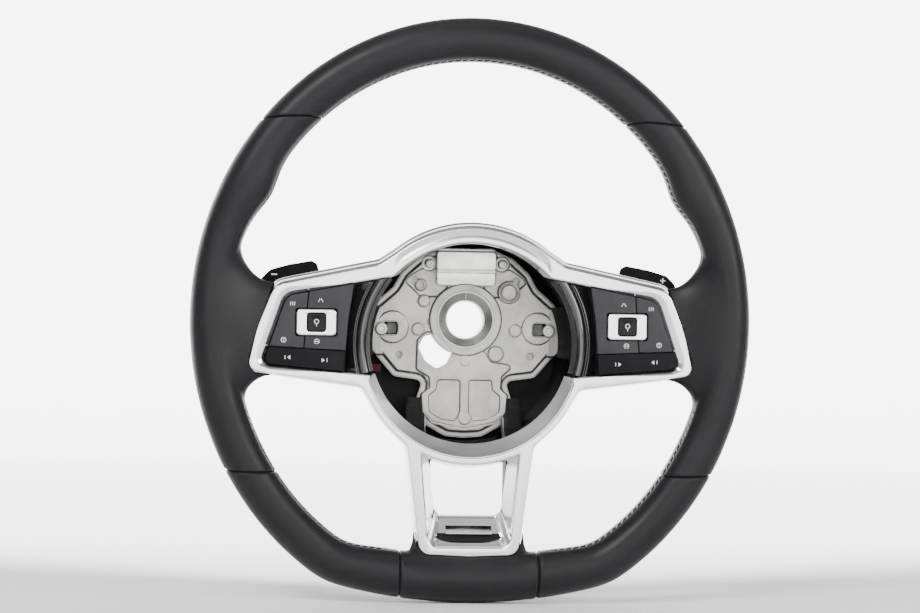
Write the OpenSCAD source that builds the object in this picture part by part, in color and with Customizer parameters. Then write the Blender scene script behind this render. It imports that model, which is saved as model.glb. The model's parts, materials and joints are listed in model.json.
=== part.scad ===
// Flat-bottomed leather steering wheel for a car, shown without its airbag.
// X is to the right, Z is up and the driver sits on the -Y side.
// The origin is on the column axis, in the middle of the pilot bore that the column fits.

/* [Rim] */
// Full width of the rim over its leather
rim_w = 364.8; // [350:0.5:390]
// Full height of the oval that the rim follows above its flat bottom
rim_h = 394.2; // [380:0.5:410]
// Distance that the middle of the oval lies below the column axis
rim_drop = 1; // [0:0.5:4]
// Distance from the column axis down to the flat bottom
flat_low = 183.6; // [178:0.2:190]
// Radius of the slight crown of the flat bottom
flat_r = 340; // [300:5:420]
// Thickness of the rim seen from the front
rim_t = 28.6; // [26:0.2:32]
// Thickness of the rim from front to back
rim_deep = 34; // [31:0.5:38]
// Extra thickness at the two thumb rests
thumb_t = 4.4; // [0:0.2:6]
// Angle of the thumb rests, measured from the top of the rim
thumb_at = 59; // [52:1:64]
// Reduction of thickness where the hands pass the side spokes
waist_t = 3; // [0:0.2:4]
// Extra thickness along the flat bottom
bottom_t = 2.2; // [0:0.2:4]
// Distance that the middle of the rim stands in front of the hub
dish = 48; // [46:0.5:50]
// Thickness of the leather
leather_t = 1.3; // [0.8:0.1:1.8]
// Layer of glue between leather and foam
glue_t = 0.15; // [0.1:0.05:0.3]
// Gap between two leather panels at a seam
seam_gap = 0.35; // [0.2:0.05:0.8]
// Height of the upper seams above the column axis
seam_top = 129; // [115:1:140]
// Distance of the lower side seams below the column axis
seam_low = 100; // [90:1:110]
// Distance of the bottom seams from the middle
seam_bottom = 45; // [42:0.5:60]
// Width of the cast core inside the rim
core_w = 13; // [10:0.5:15]
// Depth of the cast core inside the rim
core_deep = 11; // [9:0.5:13]
// Wall of the cast core's channel
core_wall = 3.2; // [2.4:0.2:4]

/* [Spoke trim] */
// Distance of the airbag ring's middle below the column axis
ring_drop = 20; // [16:0.5:22]
// Radius of the airbag opening at the front of the ring
ring_in_r = 69.4; // [68.6:0.2:70.4]
// Radius of the front edge of the ring over the top
ring_top_r = 80; // [78:0.5:83]
// Radius of the front edge of the ring along the bottom
ring_low_r = 73.2; // [72.4:0.2:74.5]
// Distance that the ring's inner wall rises toward the bottom
ring_lean = 8.6; // [6:0.2:9.5]
// Leather left in front between the tip of a side spoke's trim and the rim's inner edge
tip_gap = 11.4; // [9:0.2:14]
// Height of the top corner of a side spoke
wing_top = 19.2; // [17:0.2:22]
// Depth of the low corner of a side spoke below the axis
wing_low = 33.8; // [32.8:0.2:36]
// Width of the trim's face at the tip of a side spoke
tip_face = 8.6; // [7:0.2:10]
// Height of the top corner of the switch opening
pad_top = 14.1; // [12.5:0.2:15]
// Depth of the low corner of the switch opening below the axis
pad_low = 30.6; // [29.6:0.2:31]
// Half width of the lower spoke at its top
frame_top_w = 41; // [39:0.5:43]
// Half width of the lower spoke at its foot
frame_low_w = 31.8; // [30:0.2:34]
// Distance that the lower spoke's foot laps over the rim's inner edge
foot_lap = 0.8; // [0.2:0.1:2]
// Height of the bar across the foot of the lower spoke
foot_bar = 6; // [5:0.5:8]
// Height of the sloping shelf over that bar
foot_shelf = 20.4; // [18:0.2:24]
// Distance of the trim's front face in front of the hub
trim_front = 55.5; // [54.5:0.5:57]
// Depth of the trim's side wall behind its front face
trim_deep = 13.5; // [11:0.5:14]
// Height of the sloping edge round the trim's front face
trim_slope = 6.5; // [4:0.5:8]
// Wall of the trim
trim_wall = 1.5; // [1.2:0.1:1.8]
// Width of the sloping skirt round the trim
skirt_w = 1.4; // [0.8:0.1:2.4]
// Extra width of the skirt along the upper edges
brow_w = 2.8; // [1:0.2:4]
// Height of the bare badge plate on the lower spoke
badge_h = 7; // [5:0.5:8]
// Width of the bare badge plate on the lower spoke
badge_w = 30; // [20:1:34]

/* [Hub] */
// Thickness of the cast hub plate
plate_t = 6; // [5:0.5:7]
// Height of the hub plate's raised field over its border
field_t = 3; // [2:0.2:4]
// Width of the hub plate's lower border
border_w = 4.5; // [3.5:0.5:6]
// Radius of the smooth pilot bore for the column
bore_r = 13.2; // [12:0.1:14]
// Length of the smooth pilot bore
bore_len = 10; // [8:0.5:12]
// Radius to the tips of the column serration
serration_r = 12.6; // [11.5:0.1:13]
// Depth of the column serration's teeth
serration_deep = 0.6; // [0.4:0.1:0.9]
// Number of teeth of the column serration
serration_n = 40; // [24:1:60]
// Wall of the steel hub insert
insert_wall = 5.6; // [4.5:0.2:7]
// Distance that the hub boss reaches behind the hub's front face
boss_back = 22; // [18:0.5:26]
// Wall of the cast boss round the steel insert
boss_wall = 4.8; // [3.5:0.2:6]

/* [Switches] */
// Gap round each key
key_gap = 0.6; // [0.4:0.05:0.9]
// Distance of the key faces in front of the hub
key_front = 57; // [56:0.2:58]
// Thickness of a key's cap
key_t = 7.5; // [5:0.5:8]
// Height of the split between the upper keys and the lower key, below the axis
key_split = 20.5; // [18:0.5:22]
// Distance from the toggle's middle to the tip of the switch opening
toggle_in = 34.6; // [33:0.2:36]
// Width of the toggle
toggle_w = 26; // [24:0.5:28]
// Height of the toggle
toggle_h = 17; // [15:0.5:18]
// Width of the centre button
button_w = 12.2; // [10:0.2:13]
// Travel of the centre button
button_travel = 1; // [0.6:0.1:1.2]
// Distance of the switch housing's back in front of the hub
housing_back = 36; // [35.6:0.2:37]
// Wall of the switch housing
housing_wall = 1.8; // [1.4:0.1:2.2]
// Thickness of the circuit board
board_t = 1.6; // [1:0.2:2]
// Thickness of the dome mat
mat_t = 1.4; // [1:0.2:1.8]

/* [Paddles] */
// Distance from the middle to the paddle's hinge
paddle_x = 88.5; // [87:0.5:90]
// Distance of the paddle's hinge in front of the hub
paddle_y = 27; // [26:0.2:28]
// Thickness of a paddle
paddle_t = 3.2; // [2.4:0.2:3.6]
// Distance of a paddle's tip inside the tip of the spoke trim
paddle_in = 7.2; // [5:0.2:14]
// Height of a paddle's top above the axis
paddle_top = 37; // [34:0.5:40]
// Radius of the paddle's hinge pin
pin_r = 1.5; // [1.2:0.1:1.8]
// Clearance round the hinge pin
pin_gap = 0.15; // [0.1:0.05:0.25]

/* [Rear cover] */
// Radius of the cover round the hub
cover_r = 73; // [72.6:0.2:74]
// Wall of the rear cover
cover_wall = 2.2; // [1.8:0.1:2.6]
// Distance of the cover's floor behind the hub's front face
cover_back = 17; // [15:0.5:20]
// Radius of the opening for the column
column_hole_r = 34; // [30:1:38]
// Radius of the screws that hold the rear cover
screw_r = 2; // [1.5:0.1:2.5]

/* [Hidden] */
$fn = 48;

// Points round the rim's section, and points in each rounded corner
section_n = 14;
corner_n = 4;
// Small overlap that lets one shape run into another
over = 1;

// Plain vector and outline functions
function unit(v) = v / norm(v);
function smooth(t) = let (c = max(0, min(1, t))) c * c * (3 - 2 * c);
function bell(x, w) = exp(-pow(x / w, 2));
function full(v) = sign(v) * pow(abs(v), 0.88);
function arc_pts(c, r, a0, a1, n) =
    [for (i = [0:n]) let (a = a0 + (a1 - a0) * i / n) [c[0] + r * cos(a), c[1] + r * sin(a)]];
function corner_pts(p, q, s, r, n) =
    let (u = unit(p - q), v = unit(s - q), half = acos(u * v) / 2)
    let (c = q + unit(u + v) * r / sin(half), a = q + u * r / tan(half), b = q + v * r / tan(half))
    let (a0 = atan2(a[1] - c[1], a[0] - c[0]), a1 = atan2(b[1] - c[1], b[0] - c[0]))
    let (turn = (a1 - a0 + 540) % 360 - 180)
    arc_pts(c, r, a0, a0 + turn, n);
function rounded(pts, radii, n = corner_n) =
    let (m = len(pts))
    [for (i = [0:m - 1]) each corner_pts(pts[(i + m - 1) % m], pts[i], pts[(i + 1) % m], radii[i], n)];
function normals(pts) =
    let (m = len(pts))
    [for (i = [0:m - 1]) let (t = unit(pts[(i + 1) % m] - pts[(i + m - 1) % m])) [-t[1], t[0]]];
function grown(pts, d) = let (n = normals(pts)) [for (i = [0:len(pts) - 1]) pts[i] + n[i] * d];
function both_sides(half) =
    let (m = len(half))
    concat(half, [for (i = [m - 2:-1:1]) [-half[i][0], half[i][1]]]);
function at_y(pts, y) = [for (p = pts) [p[0], y, p[1]]];

// Skin through rings of equal point count: it closes on itself or has flat ends, and its faces point outward
function total(list) = list * [for (v = list) 1];
function fan_volume(points, faces) =
    total([for (f = faces, i = [1:len(f) - 2]) points[f[0]] * cross(points[f[i]], points[f[i + 1]])]);
module skin(rings, closed = false) {
    n = len(rings[0]);
    m = len(rings);
    points = [for (r = rings) each r];
    sides = [for (i = [0:closed ? m - 1 : m - 2], j = [0:n - 1])
        let (a = i * n + j, b = i * n + (j + 1) % n)
        let (c = ((i + 1) % m) * n + (j + 1) % n, d = ((i + 1) % m) * n + j)
        each [[a, b, c], [a, c, d]]];
    ends = closed ? [] : [[for (j = [n - 1:-1:0]) j], [for (j = [0:n - 1]) (m - 1) * n + j]];
    faces = concat(sides, ends);
    polyhedron(points = points, faces = fan_volume(points, faces) > 0 ? [for (f = faces) reversed(f)] : faces,
        convexity = 12);
}

// Slab of a front outline between two distances in front of the hub
module slab(back, front) {
    translate([0, -back, 0]) rotate([90, 0, 0]) linear_extrude(height = front - back) children();
}
module disc(r, back, front, x = 0, z = 0) {
    translate([x, -back, z]) rotate([90, 0, 0]) cylinder(r = r, h = front - back);
}
module left_side() {
    mirror([1, 0, 0]) children();
}

// Outer edge of the rim at an angle from +X toward +Z
function oval_r(a) =
    let (w = rim_w / 2, h = rim_h / 2)
    w * h / sqrt(pow(h * cos(a), 2) + pow(w * sin(a), 2)) - rim_drop * sin(a);
crown_z = flat_r - flat_low;
function crown_edge(a) = crown_z * sin(a) + sqrt(pow(crown_z * sin(a), 2) - pow(crown_z, 2) + pow(flat_r, 2));
blend = 1.2;
function rim_out(a) =
    let (u = oval_r(a), v = crown_edge(a))
    min(u, v) - blend * ln(1 + exp(-abs(u - v) / blend));

// Thickness of the rim by the angle from its top
waist_at = 80;
bottom_at = 148;
bottom_run = 14;
function from_top(a) = abs((a - 90 + 540) % 360 - 180);
function thumb(a) = bell(from_top(a) - thumb_at, 6);
function waist(a) = bell(from_top(a) - waist_at, 14);
function rim_wide(a) =
    rim_t + thumb_t * thumb(a) - waist_t * waist(a) + bottom_t * smooth((from_top(a) - bottom_at) / bottom_run);
function rim_thick(a) = rim_deep + thumb_t / 2 * thumb(a) - waist_t / 2 * waist(a);
function rim_mid(a) = rim_out(a) - rim_wide(a) / 2;
function rim_in(a) = rim_out(a) - rim_wide(a);

// Places that follow the rim's inner edge
wing_tip = rim_in(0) - tip_gap;
pad_tip = wing_tip - tip_face;
toggle_x = pad_tip - toggle_in;
paddle_tip = wing_tip - paddle_in;
frame_low = rim_in(-90) + foot_lap;
window_low = frame_low - foot_bar;
shelf_low = window_low - foot_shelf;

// One ring of the rim's section: slant turns the ring so that a seam can run level or upright
function rim_ring(a, slant, inset) =
    let (mid = rim_mid(a), hw = rim_wide(a) / 2 - inset, hd = rim_thick(a) / 2 - inset)
    [for (j = [0:section_n - 1])
        let (f = 360 * j / section_n, off = hw * full(cos(f)), b = a + slant * off / mid * 180 / PI)
        let (r = rim_out(b) - rim_wide(b) / 2 + off)
        [r * cos(b), -dish + hd * full(sin(f)), r * sin(b)]];

// Seam angles: upper seams and lower side seams run level, bottom seams run upright
seam_a_top = asin(seam_top / rim_mid(47));
seam_a_low = asin(seam_low / rim_mid(-35));
seam_a_bottom = acos(seam_bottom / rim_mid(-75));
seam_turn = seam_gap / 2 / (rim_w / 2) * 180 / PI;
level_slant_top = -tan(seam_a_top);
level_slant_low = tan(seam_a_low);
upright_slant = -1 / tan(seam_a_bottom);
slant_reach = 14;

// Stations of a panel from a0 to a1 with the slants of its two seams
function stations(a0, a1, s0, s1, n) =
    [for (i = [0:n])
        let (a = a0 + (a1 - a0) * i / n)
        let (k0 = pow(max(0, 1 - (a - a0) / slant_reach), 2), k1 = pow(max(0, 1 - (a1 - a) / slant_reach), 2))
        [a, s0 * k0 + s1 * k1]];
right_stations = stations(-seam_a_low + seam_turn, seam_a_top - seam_turn, level_slant_low, level_slant_top, 22);
top_stations = stations(seam_a_top + seam_turn, 180 - seam_a_top - seam_turn, level_slant_top, -level_slant_top, 16);
left_stations = stations(180 - seam_a_top + seam_turn, 180 + seam_a_low - seam_turn,
    -level_slant_top, -level_slant_low, 22);
lower_left_stations = stations(180 + seam_a_low + seam_turn, 180 + seam_a_bottom - seam_turn,
    -level_slant_low, -upright_slant, 10);
bottom_stations = stations(180 + seam_a_bottom + seam_turn, 360 - seam_a_bottom - seam_turn,
    -upright_slant, upright_slant, 6);
lower_right_stations = stations(360 - seam_a_bottom + seam_turn, 360 - seam_a_low - seam_turn,
    upright_slant, level_slant_low, 10);
function rings(list, inset) = [for (s = list) rim_ring(s[0], s[1], inset)];
function reversed(list) = [for (i = [len(list) - 1:-1:0]) list[i]];
module panel(list) {
    skin(concat(rings(list, 0), reversed(rings(list, leather_t))), closed = true);
}

// Spoke stubs of foam and leather: across is the direction along the rim, out is away from the hub
stub_n = 5;
function stub_rings(out0, out1, low, high, flare, deep0, deep1, inset) =
    [for (i = [0:stub_n])
        let (t = i / stub_n, mid = (low + high) / 2, hh = (high - low) / 2 + flare * pow(t, 2.6) - inset)
        let (hd = deep0 + (deep1 - deep0) * t * t - inset, out = out0 + (out1 - out0) * t)
        [for (j = [0:section_n - 1])
            let (f = 360 * j / section_n)
            [out, -dish + hd * full(sin(f)), mid + hh * full(cos(f))]]];
stub_in = wing_tip - 18;
stub_out = rim_in(0) + 1;
stub_high = wing_top + 1.6;
stub_low = -wing_low - 3.2;
function side_stub(inset) = stub_rings(stub_in, stub_out, stub_low, stub_high, 34, 8.6, 13, inset);
foot_in = frame_low - 15;
foot_out = rim_in(-90) + 3;
foot_w = frame_low_w + 5.6;
foot_flare = seam_bottom - seam_gap - foot_w;
function foot_stub(inset) =
    [for (ring = stub_rings(foot_in, foot_out, -foot_w, foot_w, foot_flare, 8, 11, inset))
        [for (p = ring) [p[2], p[1], -p[0]]]];

// Core of the rim: a channel that is open toward the back, with the arms cast against it
core_n = 44;
core_seat_gap = 0.1;
function core_ring(a, gap) =
    let (m = rim_mid(a), w = core_w / 2 + gap, d = core_deep / 2 + gap, c = core_w / 2 - core_wall - gap)
    let (f = -core_deep / 2 + core_wall + gap)
    [for (p = [[-w, -d], [w, -d], [w, d], [c, d], [c, f], [-c, f], [-c, d], [-w, d]])
        [(m + p[0]) * cos(a), -dish + p[1], (m + p[0]) * sin(a)]];
module core(gap) {
    skin([for (i = [0:core_n - 1]) core_ring(-90 + 360 * i / core_n, gap)], closed = true);
}
module core_seat() {
    skin([for (i = [0:core_n - 1])
        let (a = -90 + 360 * i / core_n, m = rim_mid(a), w = core_w / 2 + core_seat_gap)
        [for (p = [[-w, -core_deep], [w, -core_deep], [w, core_deep], [-w, core_deep]])
            [(m + p[0]) * cos(a), -dish + p[1], (m + p[0]) * sin(a)]]], closed = true);
}
module rim_core() {
    color([0.7, 0.7, 0.7]) core(0);
}

// Arms of the armature: each station is distance out, height in front of the hub, half height and half depth
arm_mid_z = -8;
side_arm = [[50, -3, 15, 2.8], [66, 4, 14, 4], [84, 23, 11, 5.5], [wing_tip - 9, housing_back - 7, 10, 5.5],
    [wing_tip + 3, housing_back - 2.5, 11, 5.2], [rim_in(0) + 1, dish - 5, 12, 5], [rim_mid(0), dish, 13, 4.4]];
leg_x = 30.4;
lower_arm = [[58, -3, 8, 2.8], [72, 3, 6.5, 4], [92, 26, 5, 5], [frame_low - 20, housing_back - 3, 5, 5],
    [frame_low + 4, housing_back, 5.4, 4.8], [rim_mid(-90), dish, 6.5, 4.4]];
function arm_rings(list, gap) =
    [for (s = list) let (h = s[2] + gap, d = s[3] + gap)
        [[s[0], -s[1] + d, -h], [s[0], -s[1] - d, -h * 0.86], [s[0], -s[1] - d, h * 0.86], [s[0], -s[1] + d, h]]];
module side_arm(gap) {
    translate([0, 0, arm_mid_z]) skin(arm_rings(side_arm, gap));
}
module leg_arm(gap) {
    skin([for (ring = arm_rings(lower_arm, gap)) [for (p = ring) [leg_x + p[2] * 0.8, p[1], -p[0]]]]);
}
module arms(gap) {
    side_arm(gap);
    left_side() side_arm(gap);
    leg_arm(gap);
    left_side() leg_arm(gap);
}

// Front outlines of the spoke trim, right half from the top to the bottom
ring_c = [0, -ring_drop];
wing_crest_a = 52;
trim_j1 = [60.5, 33.4];
trim_tip_top = [wing_tip - 16.9, wing_top];
trim_tip_low = [wing_tip, -wing_low];
trim_j2 = [70.8, -44.2];
frame_j = [frame_top_w, -81.8];
frame_foot = [frame_low_w, 1.4 - frame_low];
trim_front_half = concat(
    arc_pts(ring_c, ring_top_r, 90, wing_crest_a, 10),
    corner_pts(ring_c + ring_top_r * [cos(wing_crest_a), sin(wing_crest_a)], trim_j1, trim_tip_top, 14, 4),
    corner_pts(trim_j1, trim_tip_top, trim_tip_low, 13, 5),
    corner_pts(trim_tip_top, trim_tip_low, trim_j2, 5.5, 5),
    corner_pts(trim_tip_low, trim_j2, ring_c + ring_low_r * [cos(-28), sin(-28)], 6, 4),
    arc_pts(ring_c, ring_low_r, -28, -49, 4),
    corner_pts(ring_c + ring_low_r * [cos(-49), sin(-49)], frame_j, frame_foot, 7, 3),
    corner_pts(frame_j, frame_foot, [0, -frame_low], 8, 4),
    [[0, -frame_low]]);
trim_edge = both_sides(trim_front_half);
trim_normals = normals(trim_edge);
function skirted(d) =
    [for (i = [0:len(trim_edge) - 1])
        trim_edge[i] + trim_normals[i] * (skirt_w + brow_w * max(0, trim_normals[i][1]) - d)];

// Opening of the trim: the airbag circle with a switch opening at each side
pad_tip_top = [pad_tip - 15.1, pad_top];
pad_tip_low = [pad_tip, -pad_low];
pad_in_top = [52.6, 26.8];
pad_in_low = [65.6, -36.6];
ring_deep_c = [0, -ring_drop + ring_lean / 2];
ring_deep_r = ring_in_r - ring_lean / 2;
function opening_half(c, r) = concat(
    arc_pts(c, r, 90, 43, 10),
    corner_pts(c + r * [cos(43), sin(43)], pad_in_top, pad_tip_top, 1.5, 4),
    corner_pts(pad_in_top, pad_tip_top, pad_tip_low, 9, 5),
    corner_pts(pad_tip_top, pad_tip_low, pad_in_low, 4.5, 5),
    corner_pts(pad_tip_low, pad_in_low, c + r * [cos(-18), sin(-18)], 1.5, 4),
    arc_pts(c, r, -18, -90, 14));
opening_edge = both_sides(opening_half(ring_c, ring_in_r));
opening_deep = both_sides(opening_half(ring_deep_c, ring_deep_r));

// Window of the lower spoke: wide at the front and narrow at the back
function frame_window(r, top_w, low_w, low, rad) = concat(
    arc_pts(ring_c, r, -90 - top_w, -90 + top_w, 8),
    corner_pts(ring_c + r * [sin(top_w), -cos(top_w)], [low_w, -low], [-low_w, -low], rad, 5),
    corner_pts([low_w, -low], [-low_w, -low], ring_c + r * [-sin(top_w), -cos(top_w)], rad, 5));
window_front = frame_window(ring_low_r + 1, 25.5, frame_low_w - 5.2, window_low, 8);
window_back = frame_window(ring_low_r + 3, 19.6, frame_low_w - 10.2, shelf_low, 6);
window_back_at = trim_front - 15;

function funnel(d, front, back) =
    [at_y(grown(window_front, d), -front), at_y(grown(window_back, d), -back)];
module spoke_trim() {
    face = -trim_front;
    under = face + trim_wall * 2;
    color("gainsboro") difference() {
        union() {
            skin([
                at_y(skirted(0), face + trim_deep),
                at_y(skirted(0), face + trim_slope),
                at_y(trim_edge, face),
                at_y(grown(opening_edge, 1.2), face),
                at_y(opening_edge, face + 1.5),
                at_y(opening_deep, face + trim_deep),
                at_y(grown(opening_deep, trim_wall), face + trim_deep),
                at_y(grown(opening_edge, trim_wall), under),
                at_y(skirted(trim_wall), under),
                at_y(skirted(trim_wall), face + trim_deep)], closed = true);
            skin(funnel(trim_wall, trim_front - 1, window_back_at));
        }
        skin(funnel(0, trim_front + 0.7, window_back_at - 0.7));
    }
}

// Clear space that foam and leather keep round the trim
trim_gap = 0.4;
module trim_space() {
    slab(0, trim_front + 10) polygon([for (i = [0:len(trim_edge) - 1])
        trim_edge[i] + trim_normals[i] * (skirt_w + brow_w * max(0, trim_normals[i][1]) + trim_gap)]);
}

module badge_plate() {
    slope = atan2(trim_front - window_back_at, foot_shelf);
    color("silver") translate([0, -(trim_front + window_back_at) / 2 - 0.9, 0.3 - (window_low + shelf_low) / 2])
        rotate([-(90 - slope), 0, 0]) translate([-badge_w / 2, -1.4, -badge_h / 2]) cube([badge_w, 1.2, badge_h]);
}

// Leather panels
leather_colour = [0.17, 0.17, 0.18];
module leather_top() {
    color(leather_colour) panel(top_stations);
}
module leather_right() {
    color(leather_colour) difference() {
        union() {
            skin(rings(right_stations, 0));
            skin(side_stub(0));
        }
        union() {
            skin(rings(widened(right_stations), leather_t));
            skin(side_stub(leather_t));
        }
        trim_space();
        side_arm(trim_gap);
    }
}
function widened(list) =
    concat([list[0] - [1, 0]], list, [list[len(list) - 1] + [1, 0]]);
module leather_left() {
    left_side() leather_right();
}
module leather_lower_left() {
    color(leather_colour) panel(lower_left_stations);
}
module leather_lower_right() {
    color(leather_colour) panel(lower_right_stations);
}
module leather_bottom() {
    color(leather_colour) difference() {
        union() {
            skin(rings(bottom_stations, 0));
            skin(foot_stub(0));
        }
        union() {
            skin(rings(widened(bottom_stations), leather_t));
            skin(foot_stub(leather_t));
        }
        trim_space();
        leg_arm(trim_gap);
        left_side() leg_arm(trim_gap);
    }
}

module rim_foam() {
    inset = leather_t + glue_t;
    all = concat(right_stations, top_stations, left_stations, lower_left_stations, bottom_stations,
        lower_right_stations);
    color([0.3, 0.3, 0.31]) difference() {
        union() {
            skin(rings(all, inset), closed = true);
            skin(side_stub(inset));
            left_side() skin(side_stub(inset));
            skin(foot_stub(inset));
        }
        core(0.1);
        arms(0.1);
        trim_space();
    }
}

// Outline of the cast hub plate, right half from the top to the bottom
plate_half = [[0, 47.4], [20, 46], [32, 40.6], [42.5, 31], [48, 21], [60, 10.5], [66.4, -6], [62.5, -20],
    [53.5, -30.5], [47, -38], [27.6, -40.6], [32.6, -56], [25.5, -70], [12, -77.6], [0, -78.4]];
plate_radii = [40, 8, 8, 8, 8, 8, 10, 8, 8, 5, 3.5, 9, 10, 12, 20];
plate_outline = rounded(both_sides(plate_half), concat(plate_radii, [for (i = [13:-1:1]) plate_radii[i]]), 3);
insert_r = bore_r + insert_wall;
boss_r = insert_r + boss_wall;

// Recessed upper fields, raised lower web, pockets and the shaped hole of the casting
upper_field = [[12, 20.8], [18, 14.6], [30, 14.4], [41, 24.6], [38.4, 28.4], [30, 33.8], [12, 35]];
web = [[-31.4, -14], [-26, -9], [-10, -10], [12.3, -21], [17.2, -28.4], [31.8, -30.4], [24.2, -37.4],
    [23.6, -46], [28.4, -50], [27.6, -61.5], [21, -69], [0, -73.4], [-21, -69], [-27.6, -61.5], [-28.4, -50],
    [-22.6, -46], [-23.2, -38], [-31.8, -33]];
pocket = [[2.6, -39.8], [18.4, -39.8], [19, -46.4], [24.2, -50.6], [23.6, -62.6], [15.6, -68], [5.6, -69.4],
    [2.6, -62]];
shaped_hole = [[-31, -18.5], [-27.5, -11.4], [-19.5, -9.6], [-8.2, -21.6], [-12, -29.5], [-18.5, -33], [-26.4, -27.6]];
// Bosses of the casting: across, up, radius, height over the field
bosses = [[-29.9, 22.8, 3.5, 1.4], [-27.7, 12.1, 3.7, 2.2], [-31.4, -6.7, 4, 1.2], [-21.5, -1.8, 3.4, 0.8],
    [33.4, -6.8, 4, 1.2], [28.9, 18.5, 7, 2.2], [20.6, -22.6, 4.9, 2.6], [0.2, -27.5, 3.4, 1.6],
    [0.4, -65.5, 4.3, 1.6]];
lug_x = 48.4;
lug_z = -5.4;
lug_r = 10.4;
pin_x = 24.4;
pin_z = 37.2;
lug_pin_x = lug_x + 7.3;
lug_pin_z = lug_z - 1.4;
lug_pin_r = 4.1;
screw_spots = [[-44, -24], [44, -24], [-34, 26], [34, 26]];

module each_side(pts) {
    polygon(pts);
    polygon([for (p = reversed(pts)) [-p[0], p[1]]]);
}
module hub_casting() {
    slab(-plate_t, 0) polygon(plate_outline);
    difference() {
        slab(-over, field_t) polygon(grown(plate_outline, -border_w));
        slab(field_t - 1.8, field_t + over) each_side(rounded(upper_field, [for (p = upper_field) 2], 2));
    }
    difference() {
        slab(0, field_t + 1.2) polygon(rounded(web, [for (p = web) 1.6], 2));
        slab(field_t - 1.4, field_t + 2) each_side(rounded(pocket, [for (p = pocket) 2], 2));
    }
    for (s = [-1, 1]) disc(lug_r, 0, field_t + 1, s * lug_x, lug_z);
    for (b = bosses) disc(b[2], 0, field_t + b[3], b[0], b[1]);
    disc(boss_r, -boss_back, field_t + 2.4);
}
module hub_openings() {
    for (s = [-1, 1]) {
        disc(5, -plate_t - over, field_t + over, s * pin_x, pin_z);
        slab(-plate_t - over, field_t + 2 * over)
            polygon([for (p = [[44.2, -2], [54, -2], [54, -10.4], [44.2, -10.4]]) [s * p[0], p[1]]]);
        disc(lug_pin_r + 0.1, -plate_t - over, field_t + 2 * over, s * lug_pin_x, lug_pin_z);
    }
    slab(-plate_t - over, field_t + 2 * over) polygon(rounded(shaped_hole, [for (p = shaped_hole) 3], 3));
    for (s = screw_spots) disc(screw_r + 0.15, -plate_t - over, field_t + 2 * over, s[0], s[1]);
    disc(1.9, field_t - over, field_t + 3, -29.9, 22.8);
    difference() {
        disc(6, field_t + 0.8, field_t + 3, 28.9, 18.5);
        disc(4.9, field_t, field_t + 4, 28.9, 18.5);
    }
    disc(insert_r + 0.05, -boss_back - over, field_t + 4);
}

module armature() {
    color([0.8, 0.79, 0.77]) difference() {
        union() {
            hub_casting();
            arms(0);
        }
        core_seat();
        hub_openings();
    }
}

// Steel insert with the pilot bore, the serration and a cone for the column bolt
module hub_insert() {
    front = field_t + 3;
    tooth = 360 / serration_n;
    teeth = [for (i = [0:serration_n * 2 - 1])
        let (r = i % 2 == 0 ? serration_r : serration_r - serration_deep) [r * cos(i * tooth / 2), r * sin(i * tooth / 2)]];
    color([0.66, 0.66, 0.66]) difference() {
        disc(insert_r, -boss_back, front);
        slab(-boss_back - over, front + over) polygon(teeth);
        disc(bore_r, -boss_back - over, bore_len - boss_back);
        translate([0, -front + 4, 0]) rotate([90, 0, 0])
            cylinder(r1 = serration_r + 0.4, r2 = insert_r - 0.8, h = 4.01);
        translate([-0.25, -front - over, serration_r]) cube([0.5, 4, insert_wall]);
    }
}

module blank_plate() {
    base = rounded([[-20, 22.4], [20, 22.4], [20, 47.6], [-20, 47.6]], [2.7, 2.7, 2.7, 2.7], 4);
    color("white") difference() {
        union() {
            slab(field_t + 0.3, field_t + 3.4) polygon(base);
            slab(field_t + 3, field_t + 4) polygon([[-19.4, 33.4], [19.4, 33.4], [19.4, 44.9], [-19.4, 44.9]]);
        }
        disc(boss_r + 0.4, 0, field_t + 2.7);
    }
}
module locating_pins() {
    color("silver") for (s = [-1, 1]) {
        disc(3, -plate_t, field_t + 4, s * pin_x, pin_z);
        disc(4.9, -plate_t, -plate_t + 2, s * pin_x, pin_z);
    }
}
module lug_pins() {
    color("silver") for (s = [-1, 1]) {
        disc(lug_pin_r, -plate_t, field_t + 2.4, s * lug_pin_x, lug_pin_z);
    }
}
// Black rail along the lower wall of the cover: a foot, a thin wall and a ledge in front of the legs, with clips
rail_front = 31;
rail_out = cover_r - cover_wall - 0.3;
function rail_band(deep, a0, a1, n) = concat(arc_pts(ring_c, rail_out, a0, a1, n), arc_pts(ring_c, rail_out - deep, a1, a0, n));
module clip_rail() {
    color([0.1, 0.1, 0.1]) difference() {
        union() {
            slab(2, 8) polygon(concat(arc_pts(ring_c, rail_out, -108, -72, 8), arc_pts([0, 0], 80.4, -74, -106, 8)));
            slab(2, rail_front) polygon(rail_band(1.6, -140, -40, 20));
            slab(rail_front - 2.4, rail_front) polygon(rail_band(8.6, -138, -42, 20));
            for (a = [-108, -72]) slab(rail_front - over, rail_front + 2.2) polygon(rail_band(6.8, a - 8, a + 8, 3));
            slab(rail_front - over, rail_front + 1.6) polygon(rail_band(5.4, -92, -88, 1));
        }
        arms(arm_hole);
    }
}
module wire_connector() {
    wall_in = cover_r - cover_wall - 0.3;
    low = -34.6;
    reach = sqrt(wall_in * wall_in - pow(low + ring_drop, 2));
    color([0.35, 0.06, 0.08]) translate([-reach, -34, low]) cube([11.4, 10, 4.4]);
}

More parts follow.
